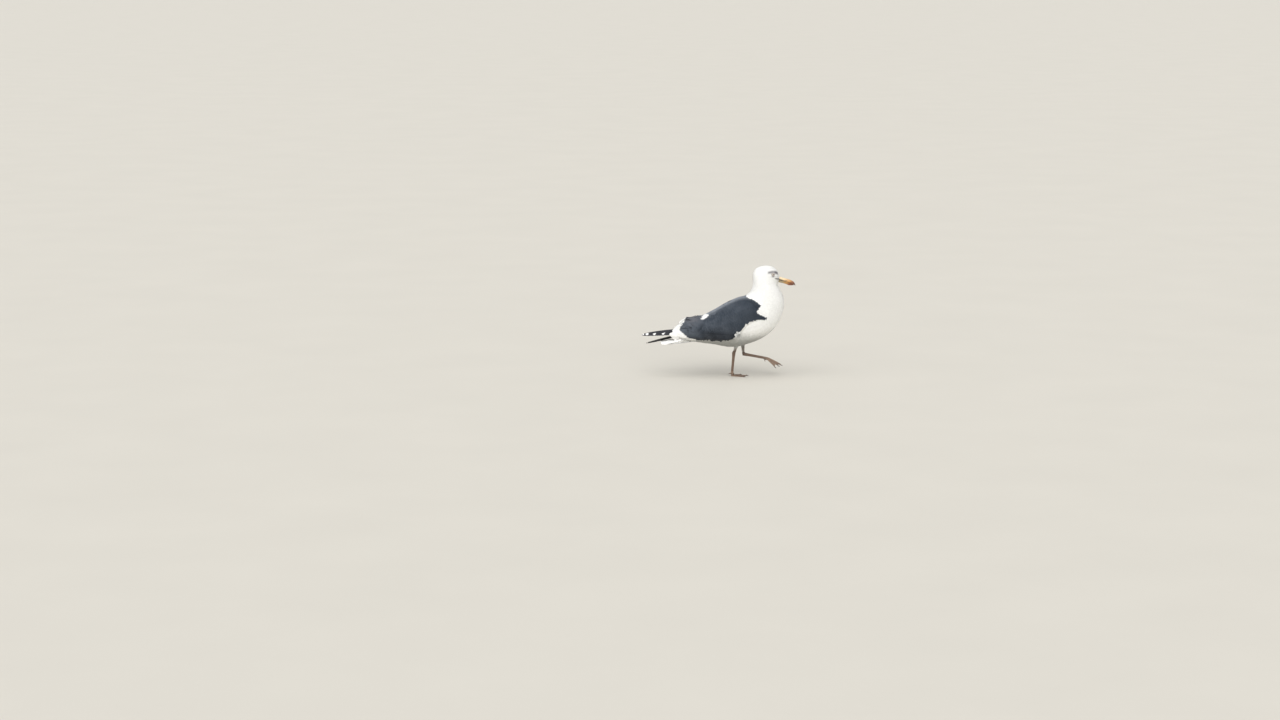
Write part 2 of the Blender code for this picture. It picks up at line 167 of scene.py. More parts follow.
def mesh_object(name, points, faces, colours=None, maps=None, smooth=True, shading=None):
    """An object from arrays. faces has three or four corners a row, colours one row a point, and maps holds
    {name: one (u, v) row a point}. shading holds a normal a corner, where the faces' own aren't wanted."""
    points, faces = np.asarray(points, np.float32), np.asarray(faces, np.int32)
    mesh = bpy.data.meshes.new(name)
    corners = faces.shape[1]
    mesh.vertices.add(len(points))
    mesh.vertices.foreach_set("co", points.ravel())
    mesh.loops.add(faces.size)
    mesh.loops.foreach_set("vertex_index", faces.ravel())
    mesh.polygons.add(len(faces))
    mesh.polygons.foreach_set("loop_start", np.arange(0, faces.size, corners, dtype=np.int32))
    for key, rows in (maps or {}).items():
        layer = mesh.uv_layers.new(name=key)
        layer.data.foreach_set("uv", np.asarray(rows, np.float32)[faces.ravel()].ravel())
    if colours is not None:
        layer = mesh.color_attributes.new("Shade", "FLOAT_COLOR", "POINT")
        full = np.ones((len(points), 4), np.float32)
        full[:, :3] = colours
        layer.data.foreach_set("color", full.ravel())
    mesh.update(calc_edges=True)
    mesh.validate()
    if smooth:
        mesh.polygons.foreach_set("use_smooth", np.ones(len(mesh.polygons), bool))
    if shading is not None:
        mesh.normals_split_custom_set(shading.tolist())
    made = bpy.data.objects.new(name, mesh)
    bpy.context.scene.collection.objects.link(made)
    return made


def ring_faces(rings, points, closed_ends=True):
    """Quads between rings of the same number of points, and a fan of quads across each end."""
    start = np.arange(rings - 1)[:, None] * points
    k = np.arange(points)[None]
    after = (k + 1) % points
    faces = np.stack([start + k, start + after, start + points + after, start + points + k], -1)
    faces = faces.reshape(-1, 4)
    if not closed_ends:
        return faces
    half = points // 2
    ends = []
    for base, flip in ((0, True), ((rings - 1) * points, False)):
        for j in range(half - 1):
            quad = [base + j, base + j + 1, base + points - 2 - j, base + points - 1 - j]
            ends.append(quad[::-1] if flip else quad)
    return np.vstack([faces, ends])


def arrays_of(mesh):
    points = np.zeros(len(mesh.vertices) * 3, np.float32)
    mesh.vertices.foreach_get("co", points)
    corners = np.zeros(len(mesh.loops), np.int32)
    mesh.loops.foreach_get("vertex_index", corners)
    return points.reshape(-1, 3).astype(float), corners.reshape(len(mesh.polygons), -1)


def point_normals(points, faces):
    """One normal a point, from the faces round it."""
    first = points[faces[:, 2]] - points[faces[:, 0]]
    square = np.cross(first, points[faces[:, -1]] - points[faces[:, 1]])
    total = np.zeros_like(points)
    for k in range(faces.shape[1]):
        np.add.at(total, faces[:, k], square)
    return unit(total)


def smoothed(points, faces, passes, second=-0.52):
    """Evens out the steps of a voxel mesh. Each pass steps halfway to the neighbours and then takes the
    second step: one back, so that the mesh doesn't shrink, or one further on, which rounds it off."""
    around = np.vstack([faces[:, [k, (k + 1) % faces.shape[1]]] for k in range(faces.shape[1])])
    count = np.bincount(around[:, 0], minlength=len(points))[:, None]
    for step in range(2 * passes):
        total = np.zeros_like(points)
        np.add.at(total, around[:, 0], points[around[:, 1]])
        points = points + (0.5, second)[step % 2] * (total / count - points)
    return points


def joined(names):
    """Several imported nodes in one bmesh."""
    bm = bmesh.new()
    for name in names:
        bm.from_mesh(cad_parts[name].data)
    bmesh.ops.remove_doubles(bm, verts=bm.verts, dist=1e-6)
    return bm


def reshaped(bm, kind, **settings):
    """Points and faces of a bmesh after one modifier. It uses the bmesh up."""
    mesh = bpy.data.meshes.new("rough")
    bm.to_mesh(mesh)
    bm.free()
    rough = bpy.data.objects.new("rough", mesh)
    bpy.context.scene.collection.objects.link(rough)
    modifier = rough.modifiers.new("shape", kind)
    for key, value in settings.items():
        setattr(modifier, key, value)
    made = rough.evaluated_get(bpy.context.evaluated_depsgraph_get()).to_mesh()
    points, faces = arrays_of(made)
    bpy.data.objects.remove(rough)
    return points, faces


def fused(names, voxel, grow, passes, balls):
    """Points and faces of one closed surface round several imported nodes, and round balls (centre, radius)
    that bridge their joints. Grow closes the small gaps between them, and is taken off again afterwards."""
    bm = joined(names)
    for centre, radius in balls:
        place = Matrix.Translation(Vector(centre))
        bmesh.ops.create_icosphere(bm, subdivisions=2, radius=radius, matrix=place)
    bm.normal_update()
    for vertex in bm.verts:
        vertex.co += vertex.normal * grow
    points, faces = reshaped(bm, "REMESH", mode="VOXEL", voxel_size=voxel)
    points = smoothed(points, faces, passes)
    return points - point_normals(points, faces) * grow, faces


def as_piece(made, material, slot, *replaced):
    """Makes an object one piece of the bird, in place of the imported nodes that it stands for."""
    made.data.materials.append(material)
    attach(made, "root")
    if replaced:
        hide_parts(*replaced)


class Surface:
    """A surface that feathers lie on, with a coat depth at each of its points."""

    def __init__(self, points, faces, depth):
        self.points, self.faces, self.depth = points, faces, depth
        self.normals = point_normals(points, faces)
        self.tree = BVHTree.FromPolygons(points.tolist(), faces.tolist())

    def project(self, places):
        """The nearest places on the surface, with their normals and the coat's depth there."""
        flat = places.reshape(-1, 3)
        hits = [self.tree.find_nearest(place) for place in flat.tolist()]
        found = np.array([hit[0] for hit in hits])
        corners = self.faces[[hit[2] for hit in hits]]
        apart = ((self.points[corners] - found[:, None]) ** 2).sum(2)
        weight = 1 / (apart + 1e-8)
        weight /= weight.sum(1, keepdims=True)
        normals = unit((self.normals[corners] * weight[..., None]).sum(1))
        depth = (self.depth[corners] * weight).sum(1)
        return found.reshape(places.shape), normals.reshape(places.shape), depth.reshape(places.shape[:-1])

    def beside(self, x, z, side):
        """The place that shows at (x, z) millimetres when the bird is seen from one side. Where nothing
        shows, it is the nearest place to a point a little off the middle."""
        start = Vector((x * MM, side * RAY_START, z * MM))
        hit = self.tree.ray_cast(start, Vector((0, -side, 0)))[0]
        if hit is None or hit.y * side < 0:
            hit = self.tree.find_nearest(Vector((x * MM, side * OFF_MIDDLE, z * MM)))[0]
        return np.array(hit)


# ---------------- the lie, size and colour of the coat

# Seen from the side: (x, z), the way that the feathers point there, and their length.
COAT_TABLE = [
    (150, 304, -1.0, 0.10, 2.4),
    (146, 318, -0.8, 0.60, 2.6),
    (136, 333, -0.9, 0.40, 3.0),
    (118, 344, -1.0, -0.10, 3.8),
    (95, 342, -0.9, -0.45, 5.0),
    (72, 328, -0.45, -0.9, 6.0),
    (64, 305, -0.15, -1.0, 7.5),
    (123, 320, -1.0, -0.05, 3.0),
    (105, 322, -0.9, -0.40, 4.6),
    (118, 302, -0.8, -0.60, 4.8),
    (140, 290, -0.7, -0.70, 3.6),
    (92, 295, -0.5, -0.85, 6.5),
    (140, 276, -0.25, -0.95, 6.0),
    (110, 272, -0.3, -0.95, 7.5),
    (62, 275, -0.45, -0.9, 9.0),
    (85, 250, -0.4, -0.9, 10.0),
    (130, 245, -0.2, -0.98, 10.0),
    (158, 225, -0.1, -1.0, 10.0),
    (158, 195, -0.2, -0.98, 12.0),
    (120, 205, -0.5, -0.85, 13.0),
    (145, 165, -0.5, -0.86, 13.0),
    (100, 165, -0.85, -0.5, 15.0),
    (112, 130, -0.85, -0.5, 15.0),
    (70, 150, -0.95, -0.25, 17.0),
    (75, 108, -0.98, -0.15, 16.0),
    (40, 125, -1.0, -0.05, 18.0),
    (25, 95, -1.0, 0.0, 14.0),
    (12, 86, -0.3, -0.95, 6.0),
    (34, 84, -0.3, -0.95, 7.0),
    (-15, 93, -1.0, 0.05, 15.0),
    (-60, 100, -1.0, 0.05, 17.0),
    (-110, 106, -1.0, 0.02, 20.0),
    (-160, 108, -1.0, -0.04, 24.0),
    (-190, 110, -1.0, -0.04, 15.0),
    (-208, 107, -1.0, -0.04, 11.0),
    (-150, 135, -0.9, -0.30, 12.0),
    (-156, 160, -0.75, -0.55, 7.0),
    (50, 256, -0.85, -0.5, 9.0),
    (38, 246, -0.92, -0.38, 13.0),
    (0, 232, -0.9, -0.42, 19.0),
    (-45, 207, -0.88, -0.45, 26.0),
    (-85, 190, -0.93, -0.35, 30.0),
    (100, 190, -0.9, -0.35, 7.0),
    (80, 215, -0.85, -0.45, 9.0),
    (70, 190, -0.92, -0.35, 10.0),
    (50, 215, -0.9, -0.42, 14.0),
    (25, 185, -0.92, -0.36, 17.0),
    (25, 155, -0.88, -0.46, 14.0),
    (-20, 190, -0.9, -0.4, 22.0),
    (-20, 150, -0.95, -0.28, 20.0),
    (-70, 160, -0.95, -0.25, 26.0),
]
COAT_PLACES = np.array([row[:2] for row in COAT_TABLE], float)
COAT_WAYS = np.array([row[2:4] for row in COAT_TABLE], float)
COAT_LENGTHS = np.array([row[4] for row in COAT_TABLE], float)

# The dark back and folded wing seen from the side, round from the front of the back.
SLATE_OUTLINE = np.array(
    [
        (46, 300), (46, 251), (72, 240), (86, 232), (84, 222), (79, 215), (76, 207), (84, 200), (95, 195),
        (109, 189), (106, 184), (79, 184.5), (58, 180), (43, 171), (37, 163), (29, 154), (15, 149), (6, 138),
        (5, 122), (-20, 116), (-130, 116), (-187, 128), (-200, 150), (-200, 300),
    ],
    float,
)
# The white ends of the hind feathers of the folded wing, seen from the side.
WHITE_ENDS = np.array(
    [
        (-100, 112), (-119, 121), (-138, 126), (-144, 133), (-155, 142), (-162, 149), (-160, 156),
        (-153, 167), (-143, 180), (-138, 200), (-230, 200), (-230, 90), (-100, 90),
    ],
    float,
)
CRESCENT_MIDDLE, CRESCENT_REACH = np.array([-86.0, 188.5]), np.array([13.5, 4.0])
CRESCENT_WAY = np.array([math.cos(math.radians(28)), math.sin(math.radians(28))])
# How far from an eye's centre the feathers start, and the distances over which the coat parts round it.
EYE_CLEAR = 5.1
EYE_PARTING = (7 * MM, 13 * MM)
BROW_LINE = [(112, 325.5), (122, 327.3), (132, 326.3), (141, 321.5)]
MOUTH_LINE = [(131.5, 307.3), (139, 305), (150, 302.5)]
# How high the face's marks, the head's feathers and the neck's begin.
FACE_FROM, HEAD_FROM, NECK_FROM = 296, 268, 205
# How far forward the breast's feathers begin, and the face's.
BREAST_FRONT, FACE_FRONT = 55, 108


def eye_centre(side):
    low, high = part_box("eye_right" if side < 0 else "eye_left")
    return np.array((low + high) / 2)


EYE_CENTRES = {side: eye_centre(side) for side in SIDES.values()}
EYE_RADIUS = (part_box("eye_left")[1].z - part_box("eye_left")[0].z) / 2


def nearness(points, reach):
    """Shares of the rows of the coat's table at each point, seen from the side."""
    apart = ((points[:, [0, 2]] / MM)[:, None] - COAT_PLACES[None]) ** 2
    weight = 1 / (apart.sum(2) + reach**2) ** 2
    return weight / weight.sum(1, keepdims=True)


def coat_flow(points):
    """The way that feathers point, before it is laid along the surface. It parts round each eye."""
    ways = nearness(points, 6) @ COAT_WAYS
    flow = np.stack([ways[:, 0], np.zeros(len(ways)), ways[:, 1]], 1)
    for centre in EYE_CENTRES.values():
        away = points - centre
        reach = np.linalg.norm(away, axis=1)
        outward = away / reach[:, None]
        inward = np.minimum((flow * outward).sum(1), 0)
        near = 1 - smoothstep(*EYE_PARTING, reach)
        flow -= outward * (inward * near * 1.3)[:, None]
    return unit(flow)


def coat_length(points):
    """Feather length in metres."""
    return nearness(points, 7) @ COAT_LENGTHS * MM


def inside(outline, points):
    """Whether each point lies inside a closed outline in the XZ plane, in millimetres."""
    x, _, z = in_mm(points)
    found = np.zeros(x.shape, bool)
    for (ax, az), (bx, bz) in zip(outline, np.roll(outline, -1, axis=0)):
        crosses = (az > z) != (bz > z)
        meets = ax + (z - az) * (bx - ax) / np.where(bz == az, 1e-9, bz - az)
        found ^= crosses & (x < meets)
    return found


def line_distance(line, points):
    """Millimetres from a bent line in the XZ plane."""
    flat = points[..., [0, 2]] / MM
    best = np.full(flat.shape[:-1], 1e9)
    for start, end in zip(line, line[1:]):
        start, span = np.array(start, float), np.array(end, float) - np.array(start, float)
        share = np.clip(((flat - start) @ span) / (span @ span), 0, 1)
        best = np.minimum(best, np.linalg.norm(flat - start - share[..., None] * span, axis=-1))
    return best


def wave(points, scale, seed):
    """A smooth uneven value, mostly between -1 and 1 and the same each run."""
    generator = np.random.default_rng(seed)
    total = np.zeros(points.shape[:-1])
    for _ in range(6):
        way = generator.normal(size=3) / scale
        total += np.sin(points @ way + generator.uniform(0, 6.28))
    return total / 3.5


def slate_look(points):
    """The dark back and folded wing: palest along the ridge of the back, where a painted reflection of the sky
    lies, and darkest low on the wing in front, where painted shade lies.
    """
    x, y, z = in_mm(points)
    # Painted shade, darkest low on the folded wing towards its front.
    low_wing_shade = smoothstep(172, 134, z) * smoothstep(-120, -75, x)
    # A painted reflection of the sky, palest along the ridge of the back.
    ridge = smoothstep(40, 10, np.abs(y)) * smoothstep(-110, -60, x)
    hind_wing = smoothstep(-90, -128, x) * smoothstep(120, 140, z)
    hump = oval(x, z, (-126, 184), (26, 13))
    return painted(
        SLATE,
        (SLATE_PAINTED_SHADE, low_wing_shade),
        (RIDGE_PAINTED_REFLECTION, 0.8 * ridge),
        (SLATE_PALE, 0.5 * hind_wing),
        (BROWN_GREY, np.clip(hump, 0, 0.8)),
        (SLATE_PALE, 0.12 + 0.12 * wave(points, 0.012, 3)),
    )


def markings(points):
    """The plumage's colour at each point, on the skin and the coat alike. It holds painted shade under the
    body, on a patch of the flank, low on the folded wing and in part over the eyes, and a painted reflection of
    the sky along the ridge of the back.
    """
    x, y, z = in_mm(points)
    # Painted shade: the white darkens towards the underside of the body, less so at its hind end.
    belly = smoothstep(152, 104, z) * smoothstep(-160, -115, x)
    shin = smoothstep(97, 84, z) * smoothstep(-12, 0, x)
    # Painted shade: a grey patch on the white flank in front of the folded wing.
    flank = oval(x, z, (20, 138), (10, 9), 1.5)
    dark = inside(SLATE_OUTLINE, points) & ~inside(WHITE_ENDS, points)
    at_side = smoothstep(6, 11, np.abs(y)) * (z > FACE_FROM)
    # The dusky band over each eye is partly the dusky feathers there and partly painted shade under the brow.
    brow = np.exp(-((line_distance(BROW_LINE, points) / 3.7) ** 2)) * at_side
    lore = oval(x, z, (135, 324.5), (5.5, 3.6)) * at_side
    under_eye = oval(x, z, (124.5, 313), (6.5, 1.8)) * at_side
    mouth = np.exp(-((line_distance(MOUTH_LINE, points) / 1.6) ** 2)) * at_side
    return painted(
        np.broadcast_to(WHITE, points.shape),
        (BELLY_SHADE, 0.88 * belly),
        (LEG_BUFF, 0.5 * shin),
        (FLANK_PAINTED_SHADE, 0.9 * flank),
        (slate_look(points), dark.astype(float)),
        (BROW_GREY, 0.8 * brow),
        (LORE_GREY, 0.8 * lore),
        (BROW_GREY, 0.8 * under_eye),
        (MOUTH_OLIVE, np.clip(1.1 * mouth, 0, 1)),
    )


# The line inside the body that the coat's unwrap is measured along, and where on the map each point comes.
SPINE = np.array(
    [(152, 304), (118, 312), (98, 285), (92, 250), (72, 205), (20, 165), (-60, 145), (-225, 112)], float
)
SPINE_SHARES = np.array([0.0, 0.17, 0.28, 0.38, 0.5, 0.64, 0.8, 1.0])


def unwrap(points):
    """Places on a flat map of the skin: along the spine, and round it from the back to the belly. The two
    sides are two strips of the map."""
    flat = points[:, [0, 2]] / MM
    best, along, height = np.full(len(flat), 1e9), np.zeros(len(flat)), np.zeros(len(flat))
    for k, (start, end) in enumerate(zip(SPINE, SPINE[1:])):
        span = end - start
        share = np.clip(((flat - start) @ span) / (span @ span), 0, 1)
        off = flat - start - share[:, None] * span
        apart = np.linalg.norm(off, axis=1)
        closer = apart < best
        best = np.where(closer, apart, best)
        passed = SPINE_SHARES[k] + share * (SPINE_SHARES[k + 1] - SPINE_SHARES[k])
        along = np.where(closer, passed, along)
        upward = unit(np.array([span[1], -span[0]]))
        height = np.where(closer, off @ upward, height)
    around = np.arctan2(np.abs(points[:, 1]) / MM, height) / math.pi
    strip = np.where(points[:, 1] < 0, 0.01 + 0.47 * around, 0.99 - 0.47 * around)
    return np.stack([0.02 + 0.96 * along, strip], 1)


# ---------------- feathers

# Where the cross rows of a vane stand along it, close together where its tip rounds off.
ROWS_SMALL = np.array([0.0, 0.38, 0.7, 0.91, 1.0])
ROWS_MIDDLE = np.array([0.0, 0.3, 0.58, 0.8, 0.94, 1.0])
ROWS_LARGE = np.array([0.0, 0.2, 0.42, 0.62, 0.79, 0.91, 0.975, 1.0])
# How strongly a feather's line turns to the coat's flow at each of its rows, and how much the lines are
# turned by chance at their roots.
FLOW_PULL, ROOT_TURN = 0.35, 0.09
# Places tried for each small feather that is kept.
CROWDING = 7
# One step of a vane's own map, along it and across it.
VANE_UNIT = 10 * MM
# How far under the envelope small feathers are rooted, as a share of the coat's depth there.
ROOT_SINK = 0.85
# How far the edges of a laid feather hang below its shaft, as a share of its width.
EDGE_DROOP = 0.02
# Feathers on the flank with roots lower than this don't reach over the wing.
FLANK_TOP = 170 * MM
# The side of a small feather's place on the unwrap, and the places in a row for large ones.
SMALL_PATCH = 0.003
BAKE_GRID = 8


def vane_shape(share, tip_width=0.3, widest=0.58):
    """Half width along a vane, as a share of its widest."""
    rise = 0.42 + 0.58 * np.sin(np.clip(share / widest, 0, 1) * math.pi / 2)
    fall = np.clip((share - widest) / (1.0 - widest), 0, 1)
    return rise * (tip_width + (1 - tip_width) * np.sqrt(np.maximum(1 - fall**2.2, 0)))


def vane_plan(rows, columns):
    """The triangles of one thin closed vane, whose underside shares the rim of its top grid. Also the grid's
    point at each corner, and 1 or -1 for a triangle of the top or the underside. A cell at a corner of the
    vane is cut through its inner point, so that no triangle of the underside falls on one of the top."""
    size = rows * columns
    upper = np.arange(size).reshape(rows, columns)
    lower = upper.copy()
    lower[1:-1, 1:-1] = size + np.arange((rows - 2) * (columns - 2)).reshape(rows - 2, columns - 2)
    row, column = np.mgrid[: rows - 1, : columns - 1]
    falling = ((row < (rows - 1) / 2) == (column < (columns - 1) / 2))[..., None]

    def halves(ids):
        a, b, c, d = ids[:-1, :-1], ids[:-1, 1:], ids[1:, 1:], ids[1:, :-1]
        first = np.where(falling, np.stack([a, b, c], -1), np.stack([a, b, d], -1))
        second = np.where(falling, np.stack([a, c, d], -1), np.stack([b, c, d], -1))
        return np.concatenate([first.reshape(-1, 3), second.reshape(-1, 3)])

    top, under = halves(upper), halves(lower)[:, ::-1]
    stands = np.concatenate([top, halves(upper)[:, ::-1]])
    facing = np.concatenate([np.ones(len(top)), -np.ones(len(under))])
    return np.concatenate([top, under]), stands, facing


def spread(values, rows, columns):
    """Values on the top grid of each vane, repeated for the underside's own points."""
    vanes, width = len(values), values.shape[-1]
    inner = values[:, 1:-1, 1:-1].reshape(vanes, -1, width)
    return np.concatenate([values.reshape(vanes, rows * columns, width), inner], 1).reshape(-1, width)


def vane_object(name, top, normals, thickness, colours, places, patch, lengths, widths, material, slot,
                softness=0.5):
    """One piece of the coat. top is the grid of each vane (vanes, rows, columns, 3), places are where the
    vanes stand on the unwrap, and patch is how large they are there. Softness is how far the shading of the
    vanes runs into that of the coat as a whole."""
    vanes, rows, columns, _ = top.shape
    own = unit(np.cross(np.gradient(top, axis=2), np.gradient(top, axis=1)))
    if (own * normals).sum() < 0:
        top, normals, colours, own = (grid[:, :, ::-1] for grid in (top, normals, colours, -own))
    soft = unit(normals * softness + own * (1 - softness)).reshape(vanes, -1, 3)
    below = -own.reshape(vanes, -1, 3)
    under = top[:, 1:-1, 1:-1] - normals[:, 1:-1, 1:-1] * thickness[:, None, None, None]
    points = np.concatenate([top.reshape(vanes, -1, 3), under.reshape(vanes, -1, 3)], 1)
    faces, stands, facing = vane_plan(rows, columns)
    shading = np.where(facing[None, :, None, None] > 0, soft[:, stands], below[:, stands])
    step = (np.arange(vanes) * points.shape[1])[:, None, None]
    along = np.linspace(0, 1, rows)[None, :, None] + np.zeros((vanes, 1, columns))
    across = np.linspace(-1, 1, columns)[None, None, :] + np.zeros((vanes, rows, 1))
    off_shaft = across * (widths / 2 / VANE_UNIT)[:, None, None]
    vane_map = np.stack([off_shaft, along * (lengths / VANE_UNIT)[:, None, None]], -1)
    bake_map = places[:, None, None, :] + np.stack([across / 2, along - 0.5], -1) * np.asarray(patch)
    maps = {"Vane": spread(vane_map, rows, columns), "OFBake": spread(bake_map, rows, columns)}
    faces = (faces[None] + step).reshape(-1, 3)
    colours = spread(colours, rows, columns)
    made = mesh_object(name, points.reshape(-1, 3), faces, colours, maps, shading=shading.reshape(-1, 3))
    made.data.uv_layers["Vane"].active = True
    made.data.uv_layers["Vane"].active_render = True
    as_piece(made, material, slot)
    return made


def walk(surface, roots, lengths, rows, yaw):
    """Centre lines of feathers, led over the surface from their roots by the coat's flow."""
    places, normals, _ = surface.project(roots)
    flow = coat_flow(places)
    way = unit(flow - normals * (flow * normals).sum(1, keepdims=True))
    way = unit(way + np.cross(normals, way) * yaw[:, None])
    line, tops, ways = [places], [normals], [way]
    for step in np.diff(rows):
        places, normals, _ = surface.project(places + way * (lengths * step)[:, None])
        flow = coat_flow(places)
        turned = way + FLOW_PULL * flow
        way = unit(turned - normals * (turned * normals).sum(1, keepdims=True))
        line.append(places)
        tops.append(normals)
        ways.append(way)
    return np.stack(line, 1), np.stack(tops, 1), np.stack(ways, 1)


def lay(surface, line, normals, ways, rows, columns, widths, sink, lift, fray, seed, roll=0.25):
    """The top grid of each feather, from its centre line. It is sunk in the coat at the root and rises to the
    envelope at the tip."""
    generator = np.random.default_rng(seed)
    vanes = len(line)
    across = unit(np.cross(ways, normals))
    half = vane_shape(rows)[None, :, None, None] * (widths / 2)[:, None, None, None]
    column = np.linspace(-1, 1, columns)[None, None, :, None]
    grid = line[:, :, None] + across[:, :, None] * (column * half)
    tip = np.zeros((vanes, len(rows), columns))
    ragged = fray * generator.uniform(-0.6, 0.9, (vanes, columns))
    tip[:, -1] = (rows[-1] - rows[-2]) * (ragged - 0.6 * np.linspace(-1, 1, columns) ** 2)
    grid = grid + ways[:, :, None] * (tip * measured(line)[:, None, None])[..., None]
    found, tops, depth = surface.project(grid)
    share = rows[None, :, None]
    column = column[..., 0]
    height = -sink[:, None, None] * depth * (1 - share) ** 0.8 + lift[:, None, None] * share
    height = height - EDGE_DROOP * widths[:, None, None] * column**2 * (0.4 + 0.6 * share)
    height = height + generator.normal(0, roll * MM, vanes)[:, None, None] * column * share
    return found + tops * height[..., None], tops


def scattered(surface, spacing, allowed, seed):
    """Places all over a surface, about a spacing apart that changes from place to place."""
    generator = np.random.default_rng(seed)
    corners = surface.points[surface.faces]
    middles = corners.mean(1)
    keep = np.flatnonzero(allowed(middles))
    corners = corners[keep]
    area = np.linalg.norm(np.cross(corners[:, 2] - corners[:, 0], corners[:, 3] - corners[:, 1]), axis=1) / 2
    count = generator.poisson(CROWDING * area / spacing(middles[keep]) ** 2)
    chosen = np.repeat(np.arange(len(keep)), count)
    u, v = generator.uniform(0, 1, (2, len(chosen), 1))
    first, second, third, fourth = corners[chosen].transpose(1, 0, 2)
    places = (first * (1 - u) + second * u) * (1 - v) + (fourth * (1 - u) + third * u) * v
    places = places[generator.permutation(len(places))]
    gap = spacing(places)
    tree = KDTree(len(places))
    for k, place in enumerate(places.tolist()):
        tree.insert(place, k)
    tree.balance()
    free = np.ones(len(places), bool)
    kept = []
    for k, place in enumerate(places.tolist()):
        if not free[k]:
            continue
        kept.append(k)
        for _, other, _ in tree.find_range(place, gap[k]):
            free[other] = False
    return places[kept]


def clear_of_eyes(grid):
    """Whether the whole of each feather keeps off the open part of both eyes."""
    fine = np.ones(len(grid), bool)
    for centre in EYE_CENTRES.values():
        reach = np.linalg.norm((grid - centre)[..., [0, 2]], axis=-1) / MM
        same_side = grid[..., 1] * centre[1] > 0
        fine &= ~((reach < EYE_CLEAR) & same_side).any((1, 2))
    return fine


def feather_tract(name, surface, roots, rows, columns, fatness, seed, material, slot, tip_look, fray, stretch,
                  softness, raised):
    """Feathers with roots at the given places, as one piece of the coat."""
    generator = np.random.default_rng(seed)
    count = len(roots)
    lengths = coat_length(roots) * stretch * generator.uniform(0.88, 1.14, count)
    ends = roots + coat_flow(roots) * lengths[:, None]
    # Feathers of the flank that would reach over the wing stay short.
    over_wing = inside(SLATE_OUTLINE, ends) & ~inside(SLATE_OUTLINE, roots) & (roots[:, 2] < FLANK_TOP)
    lengths = np.where(over_wing, 0.5 * lengths, lengths)
    line, normals, ways = walk(surface, roots, lengths, rows, generator.normal(0, ROOT_TURN, count))
    widths = lengths * fatness * generator.uniform(0.9, 1.1, count)
    sinks = ROOT_SINK * generator.uniform(0.92, 1.0, count)
    lift = generator.uniform(-0.08, 0.18, count) * MM * np.clip(lengths / (14 * MM), 0.3, 1.2)
    lift += raised * MM
    top, tops = lay(surface, line, normals, ways, rows, columns, widths, sinks, lift, fray, seed + 1)
    fine = clear_of_eyes(top)
    top, tops, line, lengths, widths, roots = (
        values[fine] for values in (top, tops, line, lengths, widths, roots)
    )
    reading = line[:, 0] * 0.35 + line[:, -1] * 0.65
    colours = np.broadcast_to(markings(reading)[:, None, None], top.shape).copy()
    colours *= generator.uniform(0.955, 1.03, len(roots))[:, None, None, None]
    if tip_look is not None:
        colours = tip_look(colours, top)
    thickness = np.clip(lengths * 0.016, 0.07 * MM, 0.3 * MM)
    vane_object(
        name, top, tops, thickness, np.clip(colours, 0, 0.94), unwrap(roots), SMALL_PATCH, lengths, widths,
        material, slot, softness,
    )


def side_feathers(name, surface, table, material, seed, stiff):
    """Large feathers of the folded wings, as one piece, each given by a row of the table: (root x, root z,
    tip x, tip z, width, lift, whether its end is white), on both sides of the bird. Stiff ones keep a flat
    vane, and the others bend to the surface."""
    generator = np.random.default_rng(seed)
    rows, columns = np.linspace(0, 1, 21) ** 0.8, 9
    lines = []
    for side in SIDES.values():
        for root_x, root_z, tip_x, tip_z, *_ in table:
            start, end = surface.beside(root_x, root_z, side), surface.beside(tip_x, tip_z, side)
            lines.append(start + rows[:, None] * (end - start))
    widths, lifts, whites = np.array([row[4:] for row in table] * len(SIDES), float).T
    widths, lifts = widths * MM, lifts * MM
    lines, normals, _ = surface.project(np.array(lines))
    ways = unit(np.gradient(lines, axis=1))
    lengths, count = measured(lines), len(lines)
    if stiff:
        # The nearest smooth bend to each centre line and to its normals.
        powers = np.vander(rows, 3)
        bend = powers @ np.linalg.pinv(powers)
        lines, level = (np.einsum("ij,vjk->vik", bend, values) for values in (lines, normals))
        ways, level = unit(np.gradient(lines, axis=1)), unit(level)
        level = unit(level - ways * (level * ways).sum(-1, keepdims=True))
        lines = lines + level * (lifts[:, None] * (0.2 + 0.8 * rows))[..., None]
        across = unit(np.cross(ways, level))
        top, tops = free_vanes(lines, across, level, widths, rows, columns, 0.3, 0.22)
    else:
        sinks = np.full(count, 0.2)
        top, tops = lay(surface, lines, normals, ways, rows, columns, widths, sinks, lifts, 0.3, seed, 0.05)
    column = np.linspace(-1, 1, columns)[None, None]
    shift = generator.normal(0, 1.6 * MM, count)[:, None, None] + 1.2 * MM * wave(top, 0.003, seed)
    reading = top + (shift - 3.0 * MM * column**2)[..., None] * ways[:, :, None]
    white = inside(WHITE_ENDS, reading) * whites[:, None, None]
    dark = slate_look(top) * generator.uniform(0.88, 1.12, count)[:, None, None, None]
    edge = np.abs(column) ** 6 * rows[None, :, None]
    colours = painted(dark, (SLATE_PALE, 0.3 * edge), (WHITE, white))
    k = np.arange(count)
    places = np.stack([k % BAKE_GRID, k // BAKE_GRID], 1) / BAKE_GRID * (0.84, 0.9) + (0.08, 0.06)
    vane_object(
        name, top, tops, np.full(count, 0.4 * MM), colours, places, (0.02, 0.06), lengths, widths, material,
        "slate_plumage", 0.45,
    )


# ---------------- materials


def new_material(name, roughness, **sockets):
    material = bpy.data.materials.new(name)
    material.use_nodes = True
    shader = material.node_tree.nodes["Principled BSDF"]
    shader.inputs["Roughness"].default_value = roughness
    for key, value in sockets.items():
        shader.inputs[key.replace("_", " ")].default_value = value
    return material, material.node_tree, shader


